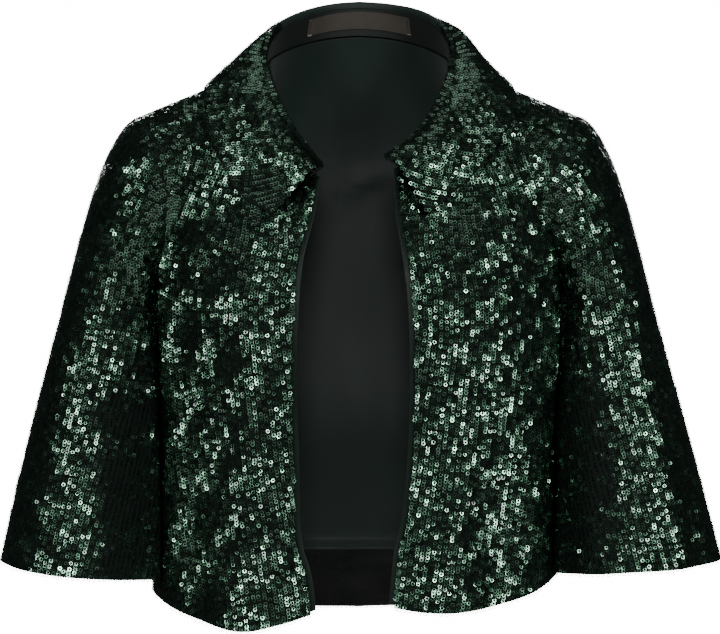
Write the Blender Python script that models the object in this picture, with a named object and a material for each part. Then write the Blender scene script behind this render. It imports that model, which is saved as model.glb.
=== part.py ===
"""Cropped open jacket of sequinned cloth, in the hollow shape that it has when it is worn.

The model is in metres, +Z up. The front faces -Y and +X is the wearer's left. The origin is midway
between the two high shoulder points, where neck and shoulders carry the jacket. The tables are in
millimetres, and each names its columns in the comment above it.
"""
import math

import bmesh
import bpy
import numpy as np
from mathutils import Vector
from mathutils.bvhtree import BVHTree

MM = 0.001

# Thickness of each cloth, and the gap at a seam
SEQUIN_CLOTH = 2.0
COLLAR_CLOTH = 1.8
SATIN = 1.2
FACING = 1.0
LABEL = 0.8
SEAM_GAP = 0.3

# Grid of a body panel: columns under the neckline and under the shoulder, rows below and above the underarm
FRONT_NECK_COLUMNS = 8
BACK_NECK_COLUMNS = 5
SHOULDER_COLUMNS = 6
LOWER_ROWS = 9
UPPER_ROWS = 11
FRONT_NECK_SHARE = 0.55
BACK_NECK_SHARE = 0.42
EDGE_COLUMN = 12.0
FRONT_WIDTH = 200.0

# Torso sections: height, half width on the wearer's right, on the left, depth in front, depth behind
TORSO = np.array([
    (-110.0, 176.0, 176.0, 110.0, 106.0),
    (-205.0, 183.0, 183.0, 129.0, 105.0),
    (-245.0, 183.5, 183.0, 130.0, 101.0),
    (-330.0, 183.0, 181.0, 122.0, 95.0),
    (-420.0, 185.0, 180.0, 118.0, 103.0),
    (-510.0, 188.5, 179.5, 120.0, 112.0),
])
ROUNDNESS = 2.4
UNDERARM_HEIGHT = -205.0
HEM_LEVEL = -480.0
STEP_BELOW = 15.0

# Front opening, from the collar to the hem: height, half gap on the wearer's right, on the wearer's left
OPENING = np.array([
    (-100.0, 33.0, 30.0),
    (-140.0, 38.5, 32.0),
    (-180.0, 48.0, 38.0),
    (-230.0, 52.5, 43.0),
    (-275.0, 54.0, 44.0),
    (-375.0, 52.0, 41.0),
    (-415.0, 51.5, 36.5),
    (-435.0, 49.0, 31.0),
    (-455.0, 42.5, 28.5),
    (-486.0, 37.5, 26.0),
])
STRIP_SHOWING = 4.5

# Hem height of each side, by distance from the centre: distance, height
FRONT_HEM = {
    -1: np.array([(36.0, -489.0), (70.0, -501.0), (103.0, -507.0), (138.0, -499.5), (172.0, -487.0),
                  (187.5, -478.0)]),
    1: np.array([(28.0, -485.0), (60.0, -490.5), (92.0, -490.0), (127.0, -484.0), (160.0, -473.5),
                 (179.5, -463.0)]),
}
BACK_HEM = {
    -1: np.array([(0.0, -506.0), (90.0, -502.0), (150.0, -489.0), (187.5, -478.0)]),
    1: np.array([(0.0, -506.0), (90.0, -499.0), (150.0, -479.0), (179.5, -463.0)]),
}

# Soft folds that open towards the hem: distance from the centre, height of the fold, half width
FRONT_FOLDS = {
    -1: ((66.0, -3.0, 17.0), (105.0, 6.0, 25.0), (146.0, -3.0, 16.0)),
    1: ((60.0, -2.0, 14.0), (88.0, 4.0, 20.0), (120.0, -3.0, 17.0), (150.0, 2.5, 15.0)),
}
BACK_FOLDS = {
    -1: ((32.0, -3.0, 22.0), (84.0, 5.0, 26.0), (132.0, -3.0, 18.0)),
    1: ((38.0, -2.5, 22.0), (96.0, 5.0, 24.0), (140.0, -2.5, 16.0)),
}
FOLDS_START = -190.0
FOLDS_FULL = -480.0

# Armhole from underarm to shoulder: share of its height, distance, depth in front, behind, height
ARMHOLE = np.array([
    (0.00, 183.0, 0.0, 0.0, -205.0),
    (0.14, 180.0, -34.0, 31.0, -198.0),
    (0.34, 172.0, -60.0, 55.0, -167.0),
    (0.56, 169.0, -65.0, 61.0, -124.0),
    (0.80, 181.0, -46.0, 44.0, -78.0),
    (0.92, 193.0, -22.0, 21.0, -56.0),
    (1.00, 198.0, 0.0, 0.0, -50.0),
])

# How fast the armhole's curve and the opening's line fade across a panel
ARMHOLE_FADE = 3
OPENING_FADE = 4

# Direction in which each panel reaches its top edge, by column share: share, across, back, up
FRONT_RISE = np.array([(0.0, 0.0, 0.30, 0.95), (0.30, 0.05, 0.60, 0.80), (0.55, 0.0, 0.86, 0.50),
                       (1.0, 0.10, 0.90, 0.30)])
BACK_RISE = np.array([(0.0, 0.0, -0.42, 0.90), (0.42, 0.0, -0.86, 0.50), (1.0, 0.10, -0.90, 0.30)])

# Collar stations from centre back (first) over the high shoulder point (fifth) to the front corner:
# neck seam x, y, z, then the inner side of the roll, then the outer edge
COLLAR_BACK = (
    (0.0, 78.0, 29.0, 0.0, 73.5, 57.0, 0.0, 99.0, -14.0),
    (28.0, 74.5, 26.5, 26.0, 68.0, 54.5, 48.0, 95.0, -15.0),
    (56.0, 60.0, 19.0, 51.0, 50.5, 46.0, 91.0, 77.0, -17.0),
    (76.0, 34.0, 8.0, 71.0, 29.0, 33.0, 122.0, 45.0, -20.0),
    (84.0, 3.0, -3.5, 82.0, 2.0, 11.0, 139.0, 2.0, -22.5),
)
COLLAR_FRONT = {
    -1: ((82.5, -25.0, -30.0, 78.5, -25.0, -18.0, 137.5, -38.0, -50.0),
         (74.0, -53.0, -58.0, 68.5, -52.0, -46.5, 132.0, -65.0, -75.0),
         (62.0, -76.0, -82.0, 56.0, -74.0, -71.0, 121.0, -88.0, -100.0),
         (49.0, -92.0, -99.0, 42.0, -90.0, -91.0, 103.0, -108.0, -126.0),
         (37.5, -100.0, -108.0, 32.5, -98.0, -103.5, 76.0, -117.0, -141.5)),
    1: ((82.5, -25.0, -30.0, 78.5, -25.0, -18.0, 137.5, -38.0, -50.0),
        (73.5, -53.0, -58.0, 67.5, -52.0, -47.0, 125.0, -66.0, -76.0),
        (60.0, -76.0, -80.0, 54.0, -74.0, -68.0, 105.0, -92.0, -102.0),
        (46.0, -91.0, -94.0, 39.0, -89.0, -84.5, 86.0, -108.0, -119.0),
        (34.5, -97.5, -101.0, 24.5, -96.0, -94.0, 61.0, -118.0, -144.0)),
}
SHOULDER_STATION = 4.0
CORNER_STATION = 9.0
SHOULDER_POINT = (198.0, 0.0, -50.0)
SHOULDER_CURVE = 0.5
ROLL_RADIUS = 3.2
ROLL_TURN_IN = 3.5
ROLL_GAP = 0.6
ROLL_ROWS = 5
FALL_ROWS = 7
# Shape of the fall beyond the roll, as shares of its width
FALL_SWELL = 0.85
FALL_DROP = 0.30
FALL_DRAW = 0.85
FALL_FINISH = 0.30
# How much higher the roll stands on each side: station, height, half width in stations
ROLL_RAISED = {-1: ((0.0, 1.3, 1.1),), 1: ((0.0, 1.3, 1.1), (2.4, 2.6, 1.1))}
# How much fuller the fall is below the roll, as a share of its width: station, share, half width
FALL_FULLER = {-1: ((3.8, 0.20, 0.4),), 1: ((3.4, 0.75, 0.6),)}
COLLAR_CLEARANCE = 2.2
# Height of the outer edge above the body, by station from centre back to the point: station, height
EDGE_LIFT = np.array([(0.0, 4.5), (3.0, 5.0), (4.0, 4.2), (6.0, 5.2), (8.0, 7.0), (9.0, 8.5)])

# Sleeve rings before the body flattens them: height, inner side, outer side of the right sleeve, of the
# left sleeve, half depth, centre
SLEEVE = np.array([
    (-225.0, 180.0, 269.0, 267.0, 66.0, -2.0),
    (-280.0, 169.0, 283.5, 282.0, 67.0, -5.0),
    (-340.0, 164.0, 298.5, 298.5, 69.0, -8.0),
    (-400.0, 162.0, 312.5, 314.0, 71.5, -11.0),
    (-470.0, 161.0, 327.5, 332.0, 74.5, -14.0),
])
SLEEVE_ROUNDNESS = 2.15
SLEEVE_CLEARANCE = 2.0
# Sleeve hem: mean height, drop from the outer to the inner side, drop in front and behind
SLEEVE_HEM = {-1: (-460.5, 7.5, 2.0), 1: (-456.5, 5.5, 1.0)}
HEAD_ROWS = 6
TUBE_ROWS = 9
# How the sleeve leaves the armhole, by angle (0 outer, 90 front, 180 underarm, 270 back):
# angle, start across, along, up, then the same at the biceps
SLEEVE_START = np.array([
    (0.0, 104.0, 0.0, -28.0, 46.0, 0.0, -190.0),
    (45.0, 84.0, -26.0, -34.0, 30.0, 0.0, -150.0),
    (90.0, 62.0, -24.0, -52.0, 14.0, 2.0, -100.0),
    (135.0, 34.0, -10.0, -28.0, 6.0, 2.0, -50.0),
    (180.0, 9.0, 0.0, -12.0, 0.0, 0.0, -21.0),
    (225.0, 34.0, 10.0, -28.0, 6.0, -2.0, -50.0),
    (270.0, 62.0, 24.0, -52.0, 14.0, -2.0, -100.0),
    (315.0, 84.0, 26.0, -34.0, 30.0, 0.0, -150.0),
    (360.0, 104.0, 0.0, -28.0, 46.0, 0.0, -190.0),
])
# Flutes of each sleeve, deepest at the hem: angle, height, half width in degrees
SLEEVE_FLUTES = {
    -1: ((50.0, 2.5, 14.0), (78.0, 4.0, 20.0), (128.0, -5.0, 20.0), (232.0, -4.0, 18.0), (285.0, 4.0, 18.0)),
    1: ((46.0, -2.0, 12.0), (68.0, 4.0, 13.0), (91.0, -3.0, 11.0), (112.0, 3.5, 12.0), (140.0, -4.5, 16.0),
        (225.0, -4.0, 18.0), (262.0, 4.0, 16.0), (300.0, -3.0, 14.0)),
}
FLUTES_START = -170.0
FLUTES_FULL = -460.0

# Back lining and label
LINING_HEM = -451.0
LINING_LOOSE = 0.6
# The label's columns each way from the centre, in columns of the stand, and its top and bottom as shares
# of the stand's height from the roll down
LABEL_COLUMNS = (0.0, 1.0, 2.0, 2.25)
LABEL_TOP = 0.10
LABEL_BOTTOM = 0.74
LABEL_GAP = 0.6

# Finish of each cloth: colour, roughness, metallic
FINISHES = {
    "sequin": ((0.020, 0.075, 0.050), 0.30, 0.35),
    "satin": ((0.012, 0.022, 0.018), 0.38, 0.0),
    "label": ((0.045, 0.032, 0.022), 0.60, 0.0),
}
COLLECTION = "sequinned_jacket"
SHARP_ANGLE = math.radians(50)
# Two edges share one mitre unless their faces turn further apart than this cosine
MITRE_LIMIT = 0.2


def spline(knots, values, at):
    """Smooth curve through the values at the knots."""
    knots = np.asarray(knots, float)
    values = np.asarray(values, float)
    at = float(np.clip(at, knots[0], knots[-1]))
    slopes = np.gradient(values, knots, axis=0)
    i = int(np.clip(np.searchsorted(knots, at, side="right") - 1, 0, len(knots) - 2))
    step = knots[i + 1] - knots[i]
    return hermite(values[i], values[i + 1], slopes[i] * step, slopes[i + 1] * step, (at - knots[i]) / step)


def hermite(start, end, start_run, end_run, t):
    """Point at t on the cubic from start to end with the given runs."""
    t2, t3 = t * t, t * t * t
    return ((2 * t3 - 3 * t2 + 1) * start + (t3 - 2 * t2 + t) * start_run
            + (3 * t2 - 2 * t3) * end + (t3 - t2) * end_run)


def at_height(table, z):
    """Row of a table whose first column is a falling height, at height z."""
    return spline(-table[:, 0], table[:, 1:], -z)


def unit(vector):
    return vector / np.linalg.norm(vector)


def fold_height(folds, position):
    """Sum of the soft folds at a position."""
    return sum(height * math.exp(-((position - place) / width) ** 2) for place, height, width in folds)


def growth(z, start, full):
    """0 above start, 1 below full, smooth between."""
    t = min(max((start - z) / (start - full), 0.0), 1.0)
    return t * t * (3 - 2 * t)


def edge_distance(z, side):
    """Distance from the centre to the sequinned edge of a front."""
    right, left = at_height(OPENING, z)
    return (left if side > 0 else right) + STRIP_SHOWING


def torso_half_axes(z, side, back):
    """Half width and depth of the torso section on one side."""
    half_right, half_left, front_depth, back_depth = at_height(TORSO, z)
    return (half_left if side > 0 else half_right), (back_depth if back else front_depth)


def torso_point(z, share, side, back):
    """Point of a torso section at a share of the way from the centre to the side seam."""
    half, depth = torso_half_axes(z, side, back)
    start = math.pi / 2
    if not back:
        start = math.acos((edge_distance(z, side) / half) ** (ROUNDNESS / 2))
    angle = start * (1 - share)
    c, s = max(math.cos(angle), 0.0), max(math.sin(angle), 0.0)
    x, y = half * c ** (2 / ROUNDNESS), depth * s ** (2 / ROUNDNESS)
    nx, ny = c ** (2 - 2 / ROUNDNESS) / half, s ** (2 - 2 / ROUNDNESS) / depth
    folds = (BACK_FOLDS if back else FRONT_FOLDS)[side]
    lift = fold_height(folds, x) * growth(z, FOLDS_START, FOLDS_FULL) / math.hypot(nx, ny)
    x, y = x + nx * lift, y + ny * lift
    return np.array((x, y if back else -y, z))


def collar_stations(side):
    return np.array(COLLAR_BACK + COLLAR_FRONT[side])


def collar_at(side, station):
    """Neck seam, roll and outer edge of the collar at a station, on the +X side."""
    table = collar_stations(side)
    row = spline(np.arange(len(table)), table, station)
    return row[:3], row[3:6], row[6:]


def neck_stations(back):
    """Stations of the panel columns along the neckline, from the centre to the shoulder."""
    if back:
        return np.linspace(0.0, SHOULDER_STATION, BACK_NECK_COLUMNS + 1)
    return np.linspace(CORNER_STATION, SHOULDER_STATION, FRONT_NECK_COLUMNS + 1)


def column_shares(back):
    """Share of the way from centre to side of each panel column."""
    neck, share = (BACK_NECK_COLUMNS, BACK_NECK_SHARE) if back else (FRONT_NECK_COLUMNS, FRONT_NECK_SHARE)
    shares = np.concatenate([np.linspace(0, share, neck + 1),
                             np.linspace(share, 1, SHOULDER_COLUMNS + 1)[1:]])
    if not back:
        shares[1] = EDGE_COLUMN / FRONT_WIDTH
    return shares


def top_points(side, back):
    """Top edge of a panel: the neckline, then the shoulder seam."""
    points = [collar_at(side, station)[0] for station in neck_stations(back)]
    high, low = points[-1], np.array(SHOULDER_POINT)
    for i in range(1, SHOULDER_COLUMNS + 1):
        t = i / SHOULDER_COLUMNS
        points.append(high + (low - high) * t + np.array((0, 0, SHOULDER_CURVE * 4 * t * (1 - t))))
    return points


def half_panel(side, back):
    """Rows (hem to top) of columns (centre to side) of one half of the body, on the +X side."""
    shares = column_shares(back)
    tops = top_points(side, back)
    hem = (BACK_HEM if back else FRONT_HEM)[side]
    rise = BACK_RISE if back else FRONT_RISE
    grid = np.zeros((LOWER_ROWS + UPPER_ROWS + 1, len(shares), 3))
    for j, share in enumerate(shares):
        hem_x = torso_point(HEM_LEVEL, share, side, back)[0]
        hem_z = spline(hem[:, 0], hem[:, 1], hem_x)
        for i in range(LOWER_ROWS + 1):
            z = hem_z + (UNDERARM_HEIGHT - hem_z) * i / LOWER_ROWS
            grid[i, j] = torso_point(z, share, side, back)
        start = grid[LOWER_ROWS, j]
        run = np.linalg.norm(tops[j] - start)
        start_run = unit(start - torso_point(UNDERARM_HEIGHT - STEP_BELOW, share, side, back)) * run
        end_run = unit(spline(rise[:, 0], rise[:, 1:], share)) * run
        for i in range(1, UPPER_ROWS + 1):
            grid[LOWER_ROWS + i, j] = hermite(start, tops[j], start_run, end_run, i / UPPER_ROWS)
    follow_armhole(grid, shares, back)
    if not back:
        follow_opening(grid, shares, side)
    return grid


def follow_armhole(grid, shares, back):
    """Puts the panel's upper side edge on the armhole, and carries the change in towards the centre."""
    for i in range(1, UPPER_ROWS):
        x, front_y, back_y, z = spline(ARMHOLE[:, 0], ARMHOLE[:, 1:], i / UPPER_ROWS)
        row = grid[LOWER_ROWS + i]
        shift = np.array((x, back_y if back else front_y, z)) - row[-1]
        for j, share in enumerate(shares):
            row[j] += shift * share ** ARMHOLE_FADE


def follow_opening(grid, shares, side):
    """Keeps the upper front edge on the opening's line."""
    for row in grid[LOWER_ROWS + 1:-1]:
        shift = edge_distance(row[0][2], side) - row[0][0]
        for j, share in enumerate(shares):
            row[j][0] += shift * (1 - share) ** OPENING_FADE


def sleeve_tube(side, armhole):
    """Rows (armhole to hem) of a sleeve, each a ring from the outer side over the front."""
    count = len(armhole)
    rings = np.zeros((HEAD_ROWS + TUBE_ROWS + 1, count, 3))
    for j in range(count):
        angle = 2 * math.pi * j / count
        degrees = math.degrees(angle)
        runs = spline(SLEEVE_START[:, 0], SLEEVE_START[:, 1:], degrees)
        biceps = sleeve_ring_point(SLEEVE[0, 0], angle, side)
        for i in range(HEAD_ROWS + 1):
            rings[i, j] = hermite(armhole[j], biceps, runs[:3], runs[3:], i / HEAD_ROWS)
        mean, slant, dip = SLEEVE_HEM[side]
        hem = mean + slant * math.cos(angle) + dip * math.cos(2 * angle)
        for i in range(1, TUBE_ROWS + 1):
            z = SLEEVE[0, 0] + (hem - SLEEVE[0, 0]) * i / TUBE_ROWS
            rings[HEAD_ROWS + i, j] = sleeve_ring_point(z, angle, side)
    return rings


def sleeve_ring_point(z, angle, side):
    """Point of the sleeve's section at a height and an angle round it."""
    inner, outer_right, outer_left, depth, centre_y = at_height(SLEEVE, z)
    outer = outer_left if side > 0 else outer_right
    centre, half = (inner + outer) / 2, (outer - inner) / 2
    c, s = math.cos(angle), math.sin(angle)
    power = 2 / SLEEVE_ROUNDNESS
    degrees = math.degrees(angle)
    lift = fold_height(SLEEVE_FLUTES[side], degrees) * growth(z, FLUTES_START, FLUTES_FULL)
    x = centre + math.copysign(abs(c) ** power, c) * half + c * lift
    y = centre_y - math.copysign(abs(s) ** power, s) * depth - s * lift
    body_half, body_depth = torso_half_axes(z, side, y > 0)
    body_x = body_half * max(1 - abs(y / body_depth) ** ROUNDNESS, 0.0) ** (1 / ROUNDNESS)
    return np.array((max(x, body_x + SLEEVE_CLEARANCE), y, z))


def mirrored(grid):
    """The same panel on the other side of the body, with its columns in the other order."""
    return grid[:, ::-1] * np.array((-1.0, 1.0, 1.0))


def normals_of(grid, ring=False):
    """Outward unit normal at each point of a grid."""
    if ring:
        across = np.roll(grid, -1, axis=1) - np.roll(grid, 1, axis=1)
    else:
        across = np.gradient(grid, axis=1)
    along = np.gradient(grid, axis=0)
    normals = np.cross(across, along)
    return normals / np.linalg.norm(normals, axis=2, keepdims=True)


def share_normals(first, second):
    """Mitres two meeting edges, except where one piece turns back on the other."""
    for a, b in zip(first, second):
        if np.dot(a, b) > MITRE_LIMIT:
            mean = unit(a + b)
            a[:] = mean
            b[:] = mean


def set_back(grid, side_edges=(), ends=(), ring=False):
    """Pulls the sewn edges of a grid back by half the seam gap, square to the edge."""
    result = grid.copy()
    for column in side_edges:
        inner = 1 if column == 0 else -2
        result[:, column] += square_to_edge(grid[:, column], grid[:, inner]) * SEAM_GAP / 2
    for row in ends:
        inner = 1 if row == 0 else -2
        result[row] += square_to_edge(grid[row], grid[inner], ring) * SEAM_GAP / 2
    return result


def square_to_edge(edge, inner, ring=False):
    """Unit steps from an edge towards the line inside it, square to the edge."""
    along = np.roll(edge, -1, axis=0) - np.roll(edge, 1, axis=0) if ring else np.gradient(edge, axis=0)
    along /= np.linalg.norm(along, axis=1, keepdims=True)
    step = inner - edge
    step -= along * np.sum(step * along, axis=1, keepdims=True)
    return step / np.linalg.norm(step, axis=1, keepdims=True)


def finish_of(name, finish):
    """Principled material of one piece."""
    colour, roughness, metallic = FINISHES[finish]
    material = bpy.data.materials.new(name + "_" + finish)
    material.use_nodes = True
    shader = material.node_tree.nodes["Principled BSDF"]
    shader.inputs["Base Color"].default_value = (*colour, 1.0)
    shader.inputs["Roughness"].default_value = roughness
    shader.inputs["Metallic"].default_value = metallic
    return material


def add_wall(name, outer, inner, finish, ring=False):
    """Closed wall between an outer and an inner skin, both lofted through their rows."""
    rows, columns = outer.shape[:2]
    mesh = bmesh.new()
    skins = [[[mesh.verts.new(Vector(point * MM)) for point in row] for row in skin]
             for skin in (outer, inner)]
    spans = columns if ring else columns - 1
    for i in range(rows - 1):
        for j in range(spans):
            k = (j + 1) % columns
            for skin in skins:
                mesh.faces.new((skin[i][j], skin[i][k], skin[i + 1][k], skin[i + 1][j]))
    front, rear = skins
    for j in range(spans):
        k = (j + 1) % columns
        for i in (0, rows - 1):
            mesh.faces.new((front[i][j], front[i][k], rear[i][k], rear[i][j]))
    if not ring:
        for i in range(rows - 1):
            for j in (0, columns - 1):
                mesh.faces.new((front[i][j], front[i + 1][j], rear[i + 1][j], rear[i][j]))
    bmesh.ops.triangulate(mesh, faces=mesh.faces[:], quad_method="SHORT_EDGE")
    bmesh.ops.recalc_face_normals(mesh, faces=mesh.faces[:])
    data = bpy.data.meshes.new(name)
    mesh.to_mesh(data)
    mesh.free()
    data.materials.append(finish_of(name, finish))
    data.shade_smooth()
    data.set_sharp_from_angle(angle=SHARP_ANGLE)
    piece = bpy.data.objects.new(name, data)
    bpy.data.collections[COLLECTION].objects.link(piece)
    return piece


def body_surface(grids):
    """Search tree over the outer skins of the body panels."""
    points, faces = [], []
    for grid in grids:
        rows, columns = grid.shape[:2]
        base = len(points)
        points.extend(Vector(p) for p in grid.reshape(-1, 3))
        for i in range(rows - 1):
            for j in range(columns - 1):
                a = base + i * columns + j
                faces.append((a, a + 1, a + columns + 1, a + columns))
    return BVHTree.FromPolygons(points, faces)


def kept_off(tree, point, height, exact=False):
    """The point moved out to at least a height above the body, or to exactly that height."""
    place, normal, _, _ = tree.find_nearest(Vector(point))
    normal, place = np.array(normal), np.array(place)
    above = float(np.dot(point - place, normal))
    if above < height or exact:
        return place + normal * height
    return point


def collar_columns():
    """Stations of the collar's columns, from the wearer's right corner round the back to the left."""
    half = np.concatenate([neck_stations(False), neck_stations(True)[::-1][1:]])
    right = [(-1, station) for station in half]
    left = [(1, station) for station in half[:-1][::-1]]
    return right + left


def collar_frames(tree):
    """At each collar column: neck seam, roll centre, up, outward, outer edge and drop, in the model's place."""
    places = []
    for side, station in collar_columns():
        neck, roll, edge = (p * np.array((side, 1.0, 1.0)) for p in collar_at(side, station))
        roll[2] += fold_height(ROLL_RAISED[side], station)
        edge = kept_off(tree, edge, spline(EDGE_LIFT[:, 0], EDGE_LIFT[:, 1], station), exact=True)
        places.append((neck, roll, edge, FALL_DROP - fold_height(FALL_FULLER[side], station)))
    frames = []
    for i, (neck, roll, edge, drop) in enumerate(places):
        along = unit(places[min(i + 1, len(places) - 1)][1] - places[max(i - 1, 0)][1])
        up = roll - neck
        up = unit(up - along * np.dot(up, along))
        outward = unit(np.cross(along, -up))
        frames.append((neck, roll + outward * ROLL_RADIUS, up, outward, edge, drop))
    return frames


def fall_grid(frames, tree):
    """Rows of the fall: turned in under the roll, over it, and down to the outer edge."""
    rows = [[] for _ in range(ROLL_ROWS + 1 + FALL_ROWS)]
    for _, centre, up, outward, edge, drop in frames:
        rows[0].append(centre - outward * ROLL_RADIUS - up * ROLL_TURN_IN)
        for k in range(ROLL_ROWS):
            angle = math.pi * (1 - k / (ROLL_ROWS - 1))
            rows[1 + k].append(centre + ROLL_RADIUS * (math.cos(angle) * outward + math.sin(angle) * up))
        start = centre + outward * ROLL_RADIUS
        run = np.linalg.norm(edge - start)
        start_run = (outward * FALL_SWELL - up * drop) * run
        end_run = (edge - start) * FALL_DRAW - up * run * FALL_FINISH
        for k in range(1, FALL_ROWS + 1):
            point = hermite(start, edge, start_run, end_run, k / FALL_ROWS)
            rows[ROLL_ROWS + k].append(kept_off(tree, point, COLLAR_CLOTH + COLLAR_CLEARANCE))
    return np.array(rows)


def stand_grid(frames):
    """Rows of the stand's hidden side, from under the roll down to the neck seam."""
    rows = [[], [], []]
    for neck, centre, up, outward, _, _ in frames:
        top = centre - outward * (ROLL_RADIUS - SATIN) - up * (ROLL_TURN_IN + ROLL_GAP)
        low = neck + up * ROLL_GAP
        for row, t in zip(rows, (0.0, 0.5, 1.0)):
            row.append(top + (low - top) * t)
    return np.array(rows)


def moved(grid, normals, distance):
    return grid + normals * distance


def build_jacket():
    """Makes every piece of the jacket."""
    front_left = half_panel(1, back=False)
    front_right = mirrored(half_panel(-1, back=False))
    back_left, back_right = half_panel(1, back=True), half_panel(-1, back=True)
    back = np.concatenate([back_left[:, ::-1], back_right[:, 1:] * np.array((-1.0, 1.0, 1.0))], axis=1)

    # Sleeve rings start on the armholes, outer side first, then the front
    upper = slice(LOWER_ROWS, None)
    turn = np.array((-1.0, 1.0, 1.0))
    left_hole = np.concatenate([front_left[upper, -1][::-1], back[upper, 0][1:-1]])
    right_hole = np.concatenate([front_right[upper, 0][::-1], back[upper, -1][1:-1]]) * turn
    sleeve_left = sleeve_tube(1, left_hole)
    sleeve_right = sleeve_tube(-1, right_hole)

    n_front_left, n_front_right, n_back = normals_of(front_left), normals_of(front_right), normals_of(back)
    n_sleeve_left, n_sleeve_right = normals_of(sleeve_left, ring=True), normals_of(sleeve_right, ring=True)
    lower = slice(0, LOWER_ROWS + 1)
    share_normals(n_front_left[lower, -1], n_back[lower, 0])
    share_normals(n_front_right[lower, 0], n_back[lower, -1])
    shoulder = SHOULDER_COLUMNS + 1
    share_normals(n_front_left[-1, -shoulder:], n_back[-1, :shoulder][::-1])
    share_normals(n_front_right[-1, :shoulder], n_back[-1, -shoulder:][::-1])
    share_armhole(n_sleeve_left, n_front_left[upper, -1][::-1], n_back[upper, 0][1:-1], 1)
    share_armhole(n_sleeve_right, n_front_right[upper, 0][::-1], n_back[upper, -1][1:-1], -1)

    panels = (
        ("front_left", set_back(front_left, (-1,), (-1,)), n_front_left),
        ("front_right", set_back(front_right, (0,), (-1,)), n_front_right),
        ("back", set_back(back, (0, -1), (-1,)), n_back),
    )
    for name, grid, normals in panels:
        add_wall(name, grid, moved(grid, normals, -SEQUIN_CLOTH), "sequin")
    for name, grid, normals, flip in (("sleeve_left", sleeve_left, n_sleeve_left, 1),
                                      ("sleeve_right", sleeve_right, n_sleeve_right, -1)):
        outer = set_back(grid, ends=(0,), ring=True)
        inner = moved(outer, normals, -SEQUIN_CLOTH)
        place = np.array((flip, 1.0, 1.0))
        add_wall(name, outer * place, inner * place, "sequin", ring=True)

    build_collar(body_surface((front_left, front_right, back)))
    build_lining(back, n_back)
    build_front_strip("facing_left", front_left, n_front_left, 0)
    build_front_strip("facing_right", front_right, n_front_right, -1)


def share_armhole(sleeve, front, back, flip):
    """Mitres the sleeve's first ring with the armhole edges of the body."""
    place = np.array((flip, 1.0, 1.0))
    ring = sleeve[0]
    for j, normal in enumerate(list(front) + list(back)):
        own = ring[j] * place
        if np.dot(own, normal) > MITRE_LIMIT:
            mean = unit(own + normal)
            ring[j] = mean * place
            normal[:] = mean


def build_collar(tree):
    """The fall, the stand inside it and the label on the stand."""
    frames = collar_frames(tree)
    fall = fall_grid(frames, tree)
    add_wall("collar_fall", fall, moved(fall, normals_of(fall), -COLLAR_CLOTH), "sequin")
    stand = stand_grid(frames)
    normals = normals_of(stand)
    face = moved(stand, normals, -SATIN)
    add_wall("collar_stand", stand, face, "satin")
    half = stand.shape[1] // 2
    columns = half + np.array([-c for c in LABEL_COLUMNS[:0:-1]] + list(LABEL_COLUMNS))
    at = np.arange(stand.shape[1])
    top, _, low = face
    rows = [top + (low - top) * share for share in (LABEL_TOP, (LABEL_TOP + LABEL_BOTTOM) / 2, LABEL_BOTTOM)]
    label, ways = (np.stack([[np.interp(columns, at, row[:, k]) for k in range(3)] for row in part])
                   .transpose(0, 2, 1) for part in (rows, normals))
    label = moved(label, ways, -LABEL_GAP)
    add_wall("label", label, moved(label, ways, -LABEL), "label")


def build_lining(back, normals):
    """Back lining, hung from the neck and shoulder seams inside the back, with a free hem."""
    hem = np.zeros(back.shape[1:])
    hem_normals = np.zeros(back.shape[1:])
    first = LOWER_ROWS
    for j in range(back.shape[1]):
        heights = back[:, j, 2]
        i = int(np.searchsorted(heights, LINING_HEM))
        first = min(first, i)
        t = (LINING_HEM - heights[i - 1]) / (heights[i] - heights[i - 1])
        hem[j] = back[i - 1, j] + (back[i, j] - back[i - 1, j]) * t
        hem_normals[j] = unit(normals[i - 1, j] + (normals[i, j] - normals[i - 1, j]) * t)
    grid = np.concatenate([hem[None], back[first + 1:]])
    grid_normals = np.concatenate([hem_normals[None], normals[first + 1:]])
    outer = moved(grid, grid_normals, -SEQUIN_CLOTH - SEAM_GAP - LINING_LOOSE)
    outer = set_back(outer, (0, -1), (-1,))
    add_wall("lining_back", outer, moved(outer, grid_normals, -SATIN), "satin")


def build_front_strip(name, front, normals, edge):
    """Narrow satin facing inside a front edge, which shows past the sequinned cloth."""
    inner = 1 if edge == 0 else -2
    outward = front[:, edge] - front[:, inner]
    outward /= np.linalg.norm(outward, axis=1, keepdims=True)
    lip = front[:, edge] + outward * STRIP_SHOWING
    columns = [lip, front[:, edge], front[:, inner]]
    ways = [normals[:, edge], normals[:, edge], normals[:, inner]]
    if edge != 0:
        columns, ways = columns[::-1], ways[::-1]
    grid, grid_normals = np.stack(columns, axis=1), np.stack(ways, axis=1)
    outer = set_back(moved(grid, grid_normals, -SEQUIN_CLOTH - SEAM_GAP), ends=(-1,))
    add_wall(name, outer, moved(outer, grid_normals, -FACING), "satin")


for old in list(bpy.data.objects):
    bpy.data.objects.remove(old)
jacket = bpy.data.collections.new(COLLECTION)
bpy.context.scene.collection.children.link(jacket)
build_jacket()
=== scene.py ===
import math

import bpy
import numpy as np
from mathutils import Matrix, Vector
from mathutils.bvhtree import BVHTree


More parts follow.
